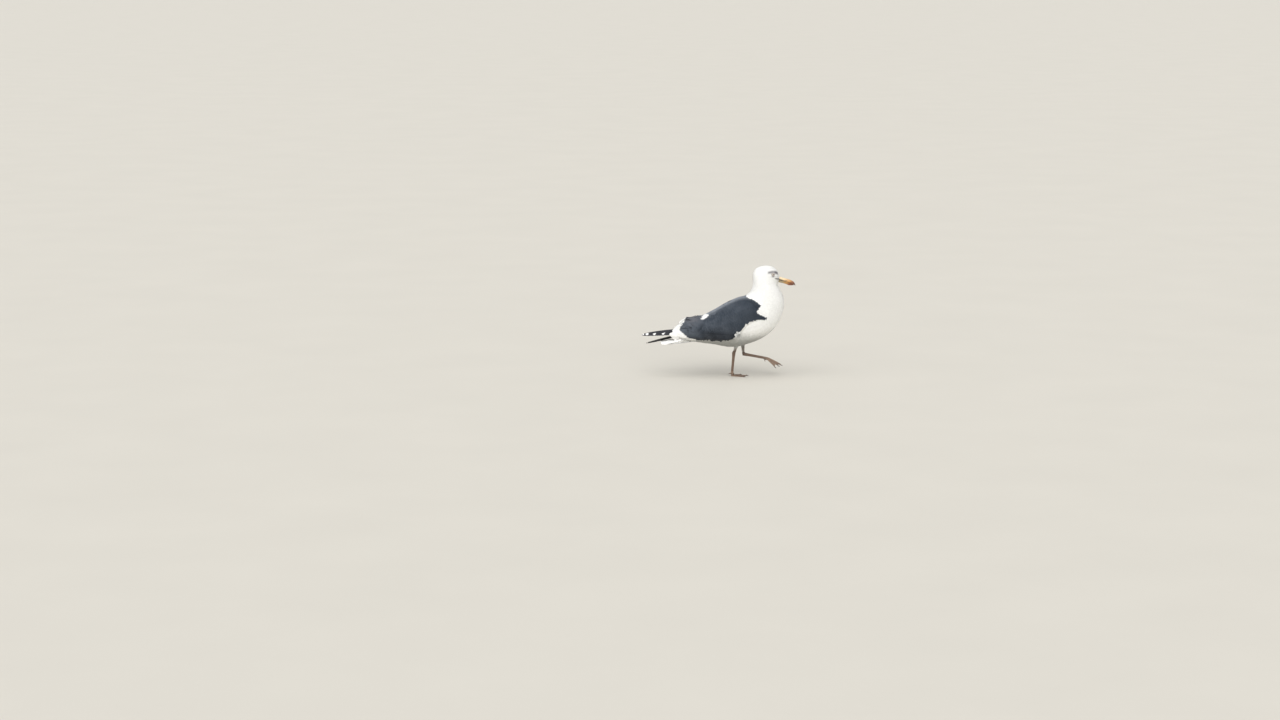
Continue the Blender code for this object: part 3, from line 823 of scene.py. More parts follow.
def node(tree, kind, feeds, **settings):
    """A shader node. feeds holds {socket: a value, or the output that leads into it}."""
    made = tree.nodes.new("ShaderNode" + kind)
    for key, value in settings.items():
        setattr(made, key, value)
    for key, value in feeds.items():
        if isinstance(value, bpy.types.NodeSocket):
            tree.links.new(value, made.inputs[key])
        else:
            made.inputs[key].default_value = value
    return made


def math_node(tree, operation, *values):
    return node(tree, "Math", dict(enumerate(values)), operation=operation).outputs[0]


def object_place(tree):
    return node(tree, "TexCoord", {}).outputs["Object"]


def noise(tree, scale, detail, place):
    return node(tree, "TexNoise", {"Scale": scale, "Detail": detail, "Vector": place}).outputs["Fac"]


def bumped(tree, shader, height, distance):
    bump = node(tree, "Bump", {"Distance": distance, "Height": height})
    tree.links.new(bump.outputs["Normal"], shader.inputs["Normal"])


def toned(tree, shader, colour, low, high, factor):
    """The shader's colour: a given one, made lighter and darker by a factor from 0 to 1."""
    span = node(tree, "MapRange", {"To Min": low, "To Max": high, "Value": factor})
    scaled = node(tree, "VectorMath", {0: colour, "Scale": span.outputs["Result"]}, operation="SCALE")
    tree.links.new(scaled.outputs["Vector"], shader.inputs["Base Color"])


def own_colour(tree):
    """The colour that the piece's points hold."""
    return node(tree, "Attribute", {}, attribute_name="Shade").outputs["Color"]


def plumage(name, roughness, barb_depth, low, high, sheen, gloss):
    """Feather vanes: a shaft, slanting barbs on each side of it, and a little unevenness in the colour."""
    material, tree, shader = new_material(
        name, roughness, Sheen_Weight=sheen, Sheen_Roughness=0.5, Specular_IOR_Level=gloss
    )
    vane = node(tree, "UVMap", {}, uv_map="Vane").outputs["UV"]
    parts = node(tree, "SeparateXYZ", {0: vane}).outputs
    off_shaft = math_node(tree, "ABSOLUTE", parts["X"])
    slant = math_node(tree, "MULTIPLY_ADD", off_shaft, -1.5, parts["Y"])
    barbs = math_node(tree, "SINE", math_node(tree, "MULTIPLY", slant, 75.0))
    shaft = math_node(tree, "LESS_THAN", off_shaft, 0.012)
    uneven = noise(tree, 260.0, 3.0, object_place(tree))
    height = math_node(tree, "MULTIPLY_ADD", barbs, 0.3, math_node(tree, "MULTIPLY", uneven, 0.7))
    height = math_node(tree, "MULTIPLY_ADD", shaft, 0.5, height)
    bumped(tree, shader, height, barb_depth)
    tone = math_node(tree, "MULTIPLY_ADD", barbs, 0.12, uneven)
    tone = math_node(tree, "MULTIPLY_ADD", shaft, -0.25, tone)
    toned(tree, shader, own_colour(tree), low, high, tone)
    return material


def skin_material():
    """Bare leg skin: the scutes are modelled, and the fine net of scales between them is this bump."""
    material, tree, shader = new_material("leg_skin_scales", 0.5)
    place = object_place(tree)
    cells = node(tree, "TexVoronoi", {"Scale": 1300.0, "Vector": place}, feature="DISTANCE_TO_EDGE")
    edge = cells.outputs["Distance"]
    grain = noise(tree, 1400.0, 4.0, place)
    bumped(
        tree, shader, math_node(tree, "MULTIPLY_ADD", edge, 1.5, math_node(tree, "MULTIPLY", grain, 0.4)),
        0.13 * MM,
    )
    tone = math_node(tree, "MULTIPLY_ADD", noise(tree, 120.0, 4.0, place), 0.8, edge)
    toned(tree, shader, own_colour(tree), 0.72, 1.18, tone)
    tree.links.new(math_node(tree, "MULTIPLY_ADD", grain, 0.3, 0.36), shader.inputs["Roughness"])
    return material


def horn_material(name, roughness, low, high, ripple):
    """Bill and claw horn: a hard sheath with faint growth lines and small scratches."""
    material, tree, shader = new_material(name, roughness, Coat_Weight=0.25, Coat_Roughness=0.25)
    place = object_place(tree)
    stretched = node(tree, "Mapping", {"Scale": (0.35, 1.0, 1.0), "Vector": place}).outputs["Vector"]
    lines = noise(tree, ripple, 5.0, stretched)
    scratches = noise(tree, 2600.0, 2.0, place)
    bumped(tree, shader, math_node(tree, "MULTIPLY_ADD", scratches, 0.25, lines), 0.18 * MM)
    toned(tree, shader, own_colour(tree), low, high, lines)
    rough = math_node(tree, "MULTIPLY_ADD", scratches, 0.25, roughness - 0.1)
    tree.links.new(rough, shader.inputs["Roughness"])
    return material


def eye_material():
    material, tree, shader = new_material("eye_wet", 0.12, Coat_Weight=1.0, Coat_Roughness=0.02)
    fibres = noise(tree, 1900.0, 3.0, object_place(tree))
    toned(tree, shader, own_colour(tree), 0.75, 1.2, fibres)
    bumped(tree, shader, fibres, 0.02 * MM)
    return material


# ---------------- the skin


def coat_depth(points):
    """How far the skin lies under the tips of the feathers."""
    x, _, z = in_mm(points)
    depth = 2.6 - 1.5 * smoothstep(225, 300, z)
    depth = depth - 1.4 * smoothstep(98, 90, z) * smoothstep(-5, 8, x)
    return depth * MM


# The line where the two folded wings meet on the back, (x, z) in millimetres, and the balls that fill the
# slit along it: their radius, how far their middles lie under the line, and the step from one to the next.
WING_SEAM = [
    (-176, 151), (-172, 156), (-150, 174.5), (-122, 186), (-90, 190.5), (-55, 208), (-20, 226), (5, 239),
]
SEAM_BALL, SEAM_UNDER, SEAM_STEP = 5.0, 4.8, 2.5
# Shares of the coat's depth that are tried from the surface inwards, and the room that each needs, as a
# share of how deep it is.
DEPTH_SHARES = (0.12, 0.3, 0.5, 0.75, 1.0)
DEPTH_ROOM = 0.7
# The voxels of the envelope that the skin comes from, and of the finer one that the feathers lie on.
BODY_VOXEL, LIE_VOXEL = 2.0 * MM, 1.5 * MM


def envelope_surface(voxel, *more):
    """The outer surface of the coat. The eyes are part of it, so that no pit is left where they sit, and the
    slit between the wings is filled. Where a part is thin, the coat is only as deep as leaves room for the
    skin."""
    seam = np.array(WING_SEAM, float)
    seam_x = np.arange(seam[0, 0], seam[-1, 0], SEAM_STEP)
    seam_z = np.interp(seam_x, seam[:, 0], seam[:, 1]) - SEAM_UNDER
    balls = [((x * MM, 0, z * MM), SEAM_BALL * MM) for x, z in zip(seam_x.tolist(), seam_z.tolist())]
    points, faces = fused(FLESH + ["eye_left", "eye_right", *more], voxel, 0.0, 3, balls)
    normals = point_normals(points, faces)
    tree = BVHTree.FromPolygons(points.tolist(), faces.tolist())
    wanted, reached = coat_depth(points), np.zeros(len(points))
    open_still = np.ones(len(points), bool)
    for share in DEPTH_SHARES:
        deeper = points - normals * (wanted * share)[:, None]
        for k in np.flatnonzero(open_still):
            near, out, _, apart = tree.find_nearest(deeper[k].tolist())
            under = (Vector(deeper[k]) - near).dot(out) < 0
            if under and apart > DEPTH_ROOM * share * wanted[k]:
                reached[k] = share * wanted[k]
            else:
                open_still[k] = False
    return Surface(points, faces, reached)


def axis_share(points, start, end):
    """How far along a line from its start each point lies, in metres, and how far off it."""
    way = unit(end - start)
    along = (points - start) @ way
    return along, np.linalg.norm(points - start - along[:, None] * way, axis=1)


def groove(along, pitch, width):
    """1 in the middle of each groove between scutes, 0 on them."""
    phase = np.abs((along / pitch) % 1.0 - 0.5) * pitch
    return np.exp(-(((pitch / 2 - phase) / width) ** 2))


def node_points(name):
    return np.array([vertex.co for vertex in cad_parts[name].data.vertices])


def near_middle(points, place, count):
    """The middle of the points that are nearest to a place."""
    return points[np.argsort(np.linalg.norm(points - place, axis=1))[:count]].mean(0)


TOES = ("inner", "middle", "outer")
# The deepest groove between the scutes of the tarsus.
SCUTE_DEPTH = 0.34 * MM


def leg_skin(name):
    """The bare skin of one leg and foot, with its scutes modelled. Returns points, faces and colours."""
    claws = [node_points(f"claw_{name}_{toe}") for toe in TOES]
    leg, thigh, hind = (node_points(part + name) for part in ("leg_", "thigh_", "hind_toe_"))
    toe_ends = [claw.mean(0) for claw in claws]
    knee = near_middle(leg, thigh.mean(0), 10)
    apart = np.linalg.norm(leg - thigh.mean(0), axis=1)
    heel = leg[apart > apart.max() - 5 * MM].mean(0)
    apart = np.linalg.norm(leg - heel, axis=1)
    ankle = leg[np.abs(apart - TARSUS) < 6 * MM].mean(0)
    into_thigh = unit(thigh.mean(0) - knee)
    # Balls that bridge the joints, (centre, radius): the heel and ankle, into the thigh, and at each toe's
    # ends.
    balls = [(heel, 4.8 * MM), (ankle, 5.0 * MM)]
    balls += [(knee + into_thigh * (step * MM), 2.9 * MM) for step in (-2, 0, 2, 4, 6)]
    for claw, end in zip(claws, toe_ends):
        balls += [(heel + (end - heel) * share, (4.8 - 20 * share) * MM) for share in (0.03, 0.06, 0.09)]
        base = near_middle(claw, heel, 8)
        inward = unit(heel - base)
        balls += [(base + inward * (step * MM), 1.1 * MM) for step in (-0.5, 0.5, 1.5)]
    hind_base = near_middle(hind, heel, 8)
    balls += [(hind_base * (1 - share) + heel * share, 1.5 * MM) for share in (0.0, 0.2, 0.4)]
    parts = ["leg_" + name, "foot_" + name, "hind_toe_" + name]
    points, faces = fused(parts, 0.6 * MM, 0.2 * MM, 4, balls)
    rounded = smoothed(points, faces, 24, 0.5)
    from_joints = [np.linalg.norm(points - place, axis=1) for place in (ankle, heel)]
    at_joint = sum(np.exp(-((apart / (9 * MM)) ** 4)) for apart in from_joints)
    points = points + (rounded - points) * np.clip(at_joint, 0, 1)[:, None]
    normals = point_normals(points, faces)
    along, off = axis_share(points, heel, ankle)
    way = unit(ankle - heel)
    forward = unit(np.array([1.0, 0, 0]) - way * way[0])
    up = np.array([0, 0, 1.0])
    if name == "left":
        forward = np.cross(way, [0, 1.0, 0])
        forward *= np.sign(forward[2])
        up = unit(np.cross(toe_ends[2] - heel, toe_ends[0] - heel))
        up *= np.sign(up[2])
    front = smoothstep(-0.1, 0.5, normals @ forward)
    back = smoothstep(-0.1, 0.5, -normals @ forward)
    on_tarsus = smoothstep(5 * MM, 9 * MM, along) * (1 - smoothstep(60 * MM, 66 * MM, along))
    cut = SCUTE_DEPTH * groove(along + off * 0.12, 3.3 * MM, 0.34 * MM) * front * on_tarsus
    cut += 0.2 * MM * groove(along, 1.7 * MM, 0.25 * MM) * back * on_tarsus
    on_top = smoothstep(0.1, 0.6, normals @ up)
    nearest_toe = np.full(len(points), 1.0)
    for end in toe_ends:
        reach, apart = axis_share(points, heel - up * 3 * MM, end)
        here = smoothstep(4 * MM, 8 * MM, reach) * (1 - smoothstep(2.0 * MM, 3.4 * MM, apart)) * on_top
        cut += 0.3 * MM * groove(reach, 2.5 * MM, 0.3 * MM) * here
        nearest_toe = np.minimum(nearest_toe, apart)
    web = smoothstep(3.0 * MM, 4.5 * MM, nearest_toe) * (along < 8 * MM)
    folds = wave(points, 0.0016, 11) * 0.5 + 0.5
    cut += 0.14 * MM * web * folds * on_top
    if name == "right":
        # The sole of the standing foot stays flat on the floor.
        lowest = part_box("foot_right")[0].z
        cut[points[:, 2] < lowest + 0.4 * MM] = 0
    points = points - normals * cut[:, None]
    if name == "right":
        points[:, 2] = np.maximum(points[:, 2], lowest)
    joint = np.exp(-(((along - TARSUS) / (7 * MM)) ** 2)) + 0.6 * np.exp(-((along / (6 * MM)) ** 2))
    sole = smoothstep(0.2, 0.8, -normals @ up) * (along < 6 * MM)
    colours = painted(
        LEG_BUFF,
        (WEB_BUFF, web),
        (LEG_DARK, np.clip(cut / SCUTE_DEPTH, 0, 1) * 0.7),
        (LEG_DARK, np.clip(0.45 * joint + 0.2 * wave(points, 0.006, 5), 0, 0.8)),
        (LEG_DARK, 0.4 * sole),
    )
    return points, faces, colours


def eye_axes(side):
    """The eye's own frame: outward, up and forward."""
    outward = unit(np.array([0.2, side, 0.06]))
    up = unit(np.array([0, 0, 1.0]) - outward * outward[2])
    return outward, up, np.cross(up, outward) * side


def on_ball(side, angle, turn, radius):
    """Points of a ball round the eye's centre, at an angle off its axis and a turn round it."""
    outward, up, forward = eye_axes(side)
    angle, turn = np.asarray(angle)[..., None], np.asarray(turn)[..., None]
    ring = forward * np.cos(turn) + up * np.sin(turn)
    return EYE_CENTRES[side] + radius * (outward * np.cos(angle) + ring * np.sin(angle))


LID_OPEN = 0.64
LID_TURNS = 64
# The rings of the lids: (radians past the opening, how many millimetres they stand off the ball).
LID_PROFILE = [
    (-0.02, 0.02), (-0.01, 0.22), (0.015, 0.42), (0.045, 0.5), (0.075, 0.42), (0.10, 0.3), (0.13, 0.42),
    (0.18, 0.36), (0.26, 0.3), (0.5, 0.2), (0.75, 0.0), (0.9, -0.5),
]


def lids(side):
    """Both lids and the ring of bare skin on their rim: a shell over the eyeball with an almond opening."""
    turn = np.linspace(0, 2 * math.pi, LID_TURNS, endpoint=False)
    opening = LID_OPEN * (1 + 0.06 * np.cos(2 * turn) - 0.16 * np.maximum(np.sin(turn - 0.25), 0) ** 1.5)
    ball = EYE_RADIUS - 0.1 * MM
    rings = [on_ball(side, opening + past, turn, ball + rise * MM) for past, rise in LID_PROFILE]
    points = np.concatenate(rings)
    faces = ring_faces(len(LID_PROFILE), LID_TURNS, closed_ends=False)
    if side > 0:
        faces = faces[:, ::-1]
    look = [RING_RED * share for share in (0.35, 0.6, 1.0, 0.9, 0.5)]
    look += [BROW_GREY * 0.7, mix(BROW_GREY, WHITE, 0.5)]
    rim = np.repeat(np.array(look), LID_TURNS, axis=0)
    return points, faces, np.concatenate([rim, markings(points[len(rim):]) * 0.85])


def build_skin(envelope):
    """One skin for the whole bird: the body under the coat, the eyelids, and both bare legs and feet."""
    inner = envelope.points - envelope.normals * envelope.depth[:, None]
    parts = [(inner, envelope.faces, markings(envelope.points) * 0.9)]
    parts += [leg_skin(name) for name in SIDES]
    parts += [lids(side) for side in SIDES.values()]
    points, faces, colours = zip(*parts)
    starts = np.cumsum([0] + [len(some) for some in points[:-1]])
    faces = [some + start for some, start in zip(faces, starts)]
    skin = mesh_object("skin", np.vstack(points), np.vstack(faces), np.vstack(colours))
    legs = [part + name for part in ("leg_", "foot_", "hind_toe_") for name in SIDES]
    as_piece(skin, skin_material(), "leg_skin", *FLESH, *legs)


# ---------------- eyes, bill and claws


# The rings of the eyeball, in radians off its axis, close together where its colours change.
EYE_RINGS = np.concatenate(
    [
        np.linspace(0.02, 0.22, 7), [0.235, 0.25], np.linspace(0.28, 0.60, 10), [0.64, 0.68],
        np.linspace(0.8, 3.12, 14),
    ]
)
EYE_TURNS = 48


def build_eye(name, side, material):
    """The eyeball, with a dark pupil and a pale iris that darkens to its rim."""
    turn = np.linspace(0, 2 * math.pi, EYE_TURNS, endpoint=False)
    radius = EYE_RADIUS - 0.25 * MM + 0.35 * MM * np.clip(1 - (EYE_RINGS / 0.75) ** 2, 0, 1)
    rings = [on_ball(side, np.full(EYE_TURNS, angle), turn, reach) for angle, reach in zip(EYE_RINGS, radius)]
    faces = ring_faces(len(rings), EYE_TURNS)
    if side > 0:
        faces = faces[:, ::-1]
    iris = mix(IRIS, IRIS_OUTER, smoothstep(0.5, 0.66, EYE_RINGS))
    colours = painted(
        PUPIL, (iris, smoothstep(0.235, 0.255, EYE_RINGS)), (EYE_RIM, smoothstep(0.64, 0.70, EYE_RINGS))
    )
    eye = mesh_object(name, np.concatenate(rings), faces, np.repeat(colours, EYE_TURNS, axis=0))
    as_piece(eye, material, "eye", name.replace("eyeball", "eye"))


# Rows of the two halves of the bill, as shares of the culmen and of the depth: along, ridge, cutting edge,
# and the half width in millimetres.
UPPER_BILL = [
    (0.00, 0.49, 0.03, 6.9),
    (0.15, 0.475, 0.02, 6.2),
    (0.35, 0.46, 0.00, 5.4),
    (0.55, 0.44, -0.02, 4.7),
    (0.70, 0.395, -0.04, 4.1),
    (0.82, 0.30, -0.08, 3.4),
    (0.91, 0.14, -0.15, 2.5),
    (0.97, -0.07, -0.26, 1.5),
    (1.00, -0.26, -0.35, 0.7),
]
LOWER_BILL = [
    (0.00, -0.46, 0.00, 6.5),
    (0.15, -0.43, -0.01, 5.8),
    (0.35, -0.42, -0.03, 4.8),
    (0.50, -0.44, -0.05, 4.2),
    (0.61, -0.495, -0.06, 3.8),
    (0.72, -0.45, -0.08, 3.2),
    (0.83, -0.36, -0.12, 2.4),
    (0.91, -0.27, -0.19, 1.3),
]


def bill_root():
    upper_low, lower_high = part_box("bill_upper")[0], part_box("bill_lower")[1]
    return np.array([upper_low.x, 0, lower_high.z])


# Points round the arch of each ring of a bill half, and across its flat side.
BILL_RINGS, ARCH_POINTS, FLAT_POINTS = 72, 30, 6
# How far each half reaches back into the head, as a share of the culmen.
BILL_BACK = 0.1


def bill_half(name, table, material):
    """One half of the bill, lofted along its curve, with the nostrils pressed into the upper one."""
    upper = table is UPPER_BILL
    rows = np.array(table)
    eased = 1 - (1 - np.linspace(0, 1, BILL_RINGS)) ** 1.15
    along = -BILL_BACK + (rows[-1, 0] + BILL_BACK) * eased
    ridge, edge, half = hermite(along, rows[:, 0], rows[:, 1:]).T
    tuck = 1 - 0.12 * smoothstep(0.02, -BILL_BACK, along)
    ridge, half = ridge * tuck, half * tuck
    angle = np.linspace(0, math.pi, ARCH_POINTS)
    flat = np.linspace(1, -1, FLAT_POINTS + 2)[1:-1]
    rise = np.concatenate([np.sin(angle) ** 0.86, np.full(FLAT_POINTS, 0.10)])
    sideways = np.concatenate([-np.cos(angle) * (1 - 0.16 * np.sin(angle) ** 3), flat])
    share = along[:, None] + 0 * rise
    level = edge[:, None] + (ridge - edge)[:, None] * rise
    out = half[:, None] * MM * sideways
    nostril = oval(share, level, (0.40, 0.17), (0.075, 0.045), 3) * upper
    out -= np.sign(out) * nostril * MM
    s, u, pitch = share * CULMEN, level * BILL_DEPTH, -BILL_PITCH
    x = s * math.cos(pitch) + u * math.sin(pitch)
    z = -s * math.sin(pitch) + u * math.cos(pitch)
    points = (bill_root() + np.stack([x, out, z], -1)).reshape(-1, 3)
    ridge_pale = smoothstep(0.0, 0.3, level) * smoothstep(0.66, 0.2, share)
    pale = np.maximum(ridge_pale, smoothstep(0.4, 0.12, share))
    outer = 0.85 * smoothstep(0.52, 0.72, share - 0.3 * level)
    spot = oval(share, level, (0.72, -0.27), (0.14, 0.28), 1.5)
    seam = np.exp(-(((level - edge[:, None]) / (0.06 + 0.09 * smoothstep(0.45, 0.0, share))) ** 2))
    colour = painted(
        BILL_YELLOW,
        (BILL_PALE, 0.85 * pale),
        (BILL_OLIVE, 0.8 * smoothstep(-0.02, -0.2, level) * smoothstep(0.5, 0.15, share)),
        (GONYS_RED, np.clip(np.maximum(outer, 1.1 * spot), 0, 1)),
        (TIP_DARK, 0.85 * smoothstep(0.76, 0.94, share - 0.15 * level)),
        (MOUTH_OLIVE, np.clip(seam * (0.35 + 0.65 * smoothstep(0.5, 0.15, share)), 0, 1)),
        (LORE_GREY * 0.5, nostril),
    )
    colour = colour.reshape(-1, 3) * (1 + 0.06 * wave(points, 0.002, 17))[:, None]
    faces = ring_faces(BILL_RINGS, ARCH_POINTS + FLAT_POINTS)
    if upper:
        faces = faces[:, ::-1]
    piece = mesh_object(name, points, faces, np.clip(colour, 0, 1))
    as_piece(piece, material, "bill_horn", name.replace("_horn", ""))


def build_claws(material):
    """The claws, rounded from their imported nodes."""
    names = [f"claw_{name}_{toe}" for name in SIDES for toe in TOES]
    points, faces = reshaped(joined(names), "SUBSURF", levels=2, render_levels=2)
    claws = mesh_object("claws", points, faces, CLAW_DARK * (1 + 0.2 * wave(points, 0.002, 8))[:, None])
    as_piece(claws, material, "claw_horn", *names)


# ---------------- flight feathers


def free_vanes(lines, across, normals, widths, rows, columns, tip_width, droop):
    """Top grids of flight feathers in the open, from their centre lines."""
    half = vane_shape(rows, tip_width, 0.5)[None, :, None, None] * (widths / 2)[:, None, None, None]
    column = np.linspace(-1, 1, columns)[None, None, :, None]
    grid = lines[:, :, None] + across[:, :, None] * (column * half)
    grid = grid - normals[:, :, None] * (droop * column**2 * half)
    return grid, np.broadcast_to(normals[:, :, None], grid.shape)


def loose_feathers(name, feathers, rows, columns, vane, look, thickness, stand, patch, material, slot):
    """Feathers in the open, as one piece. Each is (centre line, way across, way up, width). vane is the
    width of their tips and how far their edges hang, look gives the colours of their grid, and stand is
    where the first of them is on the unwrap and how far on the next one is."""
    lines, across, tops, widths = (np.array(values) for values in zip(*feathers))
    across, tops = (np.repeat(values[:, None], len(rows), 1) for values in (across, tops))
    grid, tops = free_vanes(lines, across, tops, widths, rows, columns, *vane)
    k = np.arange(len(lines))
    places = np.stack([stand[0] + stand[1] * k, np.full(len(k), 0.5)], 1)
    return vane_object(
        name, grid, tops, np.full(len(k), thickness * MM), look(grid), places, patch, measured(lines), widths,
        material, slot,
    )


def uneven_white(grid, amount, seed):
    return WHITE * 0.98 * (1 + amount * wave(grid, 0.006, seed))[..., None]


# The primaries from the longest in: how far short of it each one ends, its white spot, and how far its tip
# hangs outward.
PRIMARY_STEPS = [(0, 4.5, 0), (9, 8, 1.0), (31, 9, 3.2), (58, 9.5, 5.0), (88, 0, 6.0), (104, 0, 6.5)]


def build_primaries(name, side, material):
    """The folded tips of the longest flight feathers: black blades in steps, the four longest with a white
    spot. Those of the left wing show in the photo as a thin line only, and lie lower and further out."""
    low = np.array(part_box("primaries_" + name)[0])
    far = side > 0
    root = np.array([-128, side * 14, 133 if far else 146]) * MM
    tip = np.array([low[0], side * (14 if far else 3) * MM, low[2] + (0 if far else 3) * MM])
    tilt = math.radians(30 if far else 40)
    rows, columns = 1 - np.linspace(1, 0, 30) ** 1.7, 13
    way = unit(tip - root)
    over = np.array([0, side * math.cos(tilt), -math.sin(tilt)])
    over = unit(over - way * (over @ way))
    top = np.cross(way, over) * (-side)
    share = rows[:, None]
    feathers = []
    for k, (short, _, hang) in enumerate(PRIMARY_STEPS):
        end = tip - way * (short * MM) + over * ((0.4 if far else 1.0) * hang * MM)
        rest = over * ((k * 0.9 - 1.0) * MM * (1 - share)) + top * (0.75 * k * MM)
        line = root + (end - root) * share + rest + top * (np.sin(share * math.pi) * 1.5 * MM)
        feathers.append((line, over, top, (19.5 + 1.1 * k) * MM))
    spots = np.array([step[1] for step in PRIMARY_STEPS]) * MM

    def look(grid):
        """Black, a little browner to the edges of each vane, with a white spot."""
        lines = np.array([feather[0] for feather in feathers])
        ways = unit(lines[:, -1] - lines[:, -3])
        middles = lines[:, -1] - ways * (spots * 0.85)[:, None] - over * (0.2 * spots)[:, None]
        off = grid - middles[:, None, None]
        # Spots are longer across the feather than along it, so that they look round on a slanting vane.
        reach = np.hypot((off * ways[:, None, None]).sum(-1), 0.72 * (off @ over))
        reach += 0.4 * MM * wave(grid, 0.002, 21)
        white = 1 - smoothstep(-0.6 * MM, 0.6 * MM, reach - 0.54 * spots[:, None, None])
        edge = np.abs(np.linspace(-1, 1, columns)) * np.ones_like(white)
        return painted(BLACK, (BROWN_GREY * 0.55, 0.25 * edge), (WHITE, white))

    piece = loose_feathers(
        "primary_feathers_" + name, feathers, rows, columns, (0.12, 0.16), look, 0.45, (0.1, 0.15),
        (0.12, 0.9), material, "black_plumage",
    )
    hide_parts("primaries_" + name)


# The layers of the tail: the long feathers, the coverts over them and the coverts under them. Each is (pairs
# of feathers, the foremost place and height of their middle line, how far short of the tail's end they stop,
# the height of their ends, width, how far the outermost stand lower, 1 for a layer that shows its upper side
# and -1 for one that shows its underside).
TAIL_LAYERS = [
    (6, -122, 121.0, 0.5, 108.3, 15.0, 3.2, 1),
    (4, -126, 121.5, 17.0, 110.8, 17.0, 3.0, 1),
    (4, -124, 110.0, 22.0, 104.8, 17.0, 0.5, -1),
]


def build_tail(material):
    """Twelve white tail feathers, closed, each under the one nearer the middle, with a layer of coverts over
    them and another under them."""
    low, high = (np.array(corner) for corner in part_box("tail"))
    rows, feathers = np.linspace(0, 1, 22) ** 0.9, []
    for pairs, start_x, start_z, short, end_z, width, drop, facing in TAIL_LAYERS:
        for side in SIDES.values():
            for k in range(pairs):
                share = (k + 0.5) / pairs
                arch = drop * share**2
                start = np.array([start_x, side * 12 * share, start_z - arch]) * MM
                end_x = low[0] + (short + 3.0 * share**2) * MM
                end = np.array([end_x, side * (high[1] - 6.5 * MM) * share, (end_z - arch) * MM])
                line = start + (end - start) * rows[:, None]
                line[:, 2] -= 1.5 * MM * np.sin(rows * math.pi) + facing * 0.25 * k * MM * (1 - rows)
                lean = unit(np.array([0, 1.0, -side * 0.75 * share * drop / 3.2]))
                feathers.append((line, lean, facing * np.cross(lean, [-1.0, 0, 0]), width * MM))
    piece = loose_feathers(
        "tail_feathers", feathers, rows, 9, (0.5, 0.06), lambda grid: uneven_white(grid, 0.03, 31), 0.4,
        (0.04, 0.033), (0.028, 0.9), material, "white_plumage",
    )
    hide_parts("tail")


RUMP_COUNT = 8


def build_rump(material):
    """White feathers that hang from the hind edge of each folded wing and cover the root of the tail."""
    rows, feathers = np.linspace(0, 1, 18), []
    for side in SIDES.values():
        for k in range(RUMP_COUNT):
            share = k / (RUMP_COUNT - 1)
            outward = unit(np.array([-0.2, side, 0.45 * share - 0.35]))
            start = np.array([-126.0, side * (16 + 11 * share), 118 + 16 * share])
            end = np.array([-166 - 28 * share**0.6, side * (17.5 + 1.5 * share), 110.5 + 23 * share])
            line = start + (end - start) * rows[:, None] + outward * (0.35 * k)
            line += outward * (1.2 * np.sin(rows * math.pi))[:, None]
            over = unit(np.cross(unit(end - start), outward))
            feathers.append((line * MM, over, outward, 15.0 * MM))
    loose_feathers(
        "feathers_rump", feathers, rows, 7, (0.25, 0.12), lambda grid: uneven_white(grid, 0.02, 37), 0.35,
        (0.06, 0.055), (0.045, 0.9), material, "white_plumage",
    )


# ---------------- the coat


def wing_rows():
    """The large feathers of a folded wing, as tables for side_feathers: {name: rows}."""
    secondaries, greater, median = [], [], []
    for k in range(9):
        share = k / 8
        tip_x, tip_z = -134 - 52 * share, 116 + 20 * share
        secondaries.append((tip_x + 84, tip_z + 17 - 3 * share, tip_x, tip_z, 19, 0.35 + 0.06 * k, True))
    tertials = [
        (-104, 150, -189, 139.5, 23, 1.0, True),
        (-100, 156, -184, 147, 23, 1.25, True),
        (-96, 161, -176, 155, 23, 1.5, True),
        (-92, 166, -165, 163, 22, 1.75, True),
        (-88, 171, -152, 170, 21, 2.0, True),
        (-90, 176, -147, 175, 18, 2.2, True),
        (-92, 180, -141, 179.5, 15, 2.2, True),
        (-104, 184, -163, 163.5, 17, 2.4, True),
        (-112, 185, -175, 155, 16, 2.6, True),
    ]
    for k in range(15):
        tip_x, tip_z = -8 - 8.0 * k, 124 + 0.14 * max(k - 7, 0) ** 2
        root_x = min(tip_x + 42, 0)
        greater.append((root_x, tip_z + 0.42 * (root_x - tip_x), tip_x, tip_z, 15, 0.7 + 0.02 * k, False))
    for k in range(15):
        tip_x, tip_z = -4 - 7.6 * k, 138 + 0.30 * k
        root_x = min(tip_x + 27, 4)
        median.append((root_x, tip_z + 0.45 * (root_x - tip_x), tip_x, tip_z, 13, 1.0 + 0.02 * k, False))
    return {
        "secondaries": secondaries,
        "tertials": tertials,
        "greater_coverts": greater,
        "median_coverts": median,
    }


def crescent_tips(colours, top):
    """Thin pale fringes on the feathers of the back, and white tips on the hindmost of the shoulder, which
    make a pale crescent above the wing."""
    off = top[..., [0, 2]] / MM - CRESCENT_MIDDLE
    across_way = np.array([-CRESCENT_WAY[1], CRESCENT_WAY[0]])
    reach = (off @ CRESCENT_WAY / CRESCENT_REACH[0]) ** 2 + (off @ across_way / CRESCENT_REACH[1]) ** 2
    fringe = np.zeros(colours.shape[:3])
    fringe[:, -2:] = 0.22
    crescent = 1 - smoothstep(0.8, 1.2, reach + 0.25 * wave(top, 0.004, 41))
    return painted(colours, (SLATE_PALE, fringe), (WHITE, crescent))


def rooting_ground(points):
    """Whether small feathers root here: not at the bird's hind end, on the bare legs, round the eyes or
    where the bill leaves the face."""
    x, y, z = in_mm(points)
    fine = (x > -168) & ~((x < -138) & (z > 124))
    for name, side in SIDES.items():
        fine &= ~((y * side > 0) & (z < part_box("thigh_" + name)[0].z / MM + 4.0))
    fine &= clear_of_eyes(points[:, None, None])
    return fine & ~((x > 147) & (np.abs(z - 302) < 8.5) & (np.abs(y) < 7))


def root_spacing(points):
    """How far apart small feathers root. Long ones overlap more."""
    length = coat_length(points)
    return length * np.interp(length / MM, [3, 7, 14, 30], [0.36, 0.27, 0.27, 0.24])


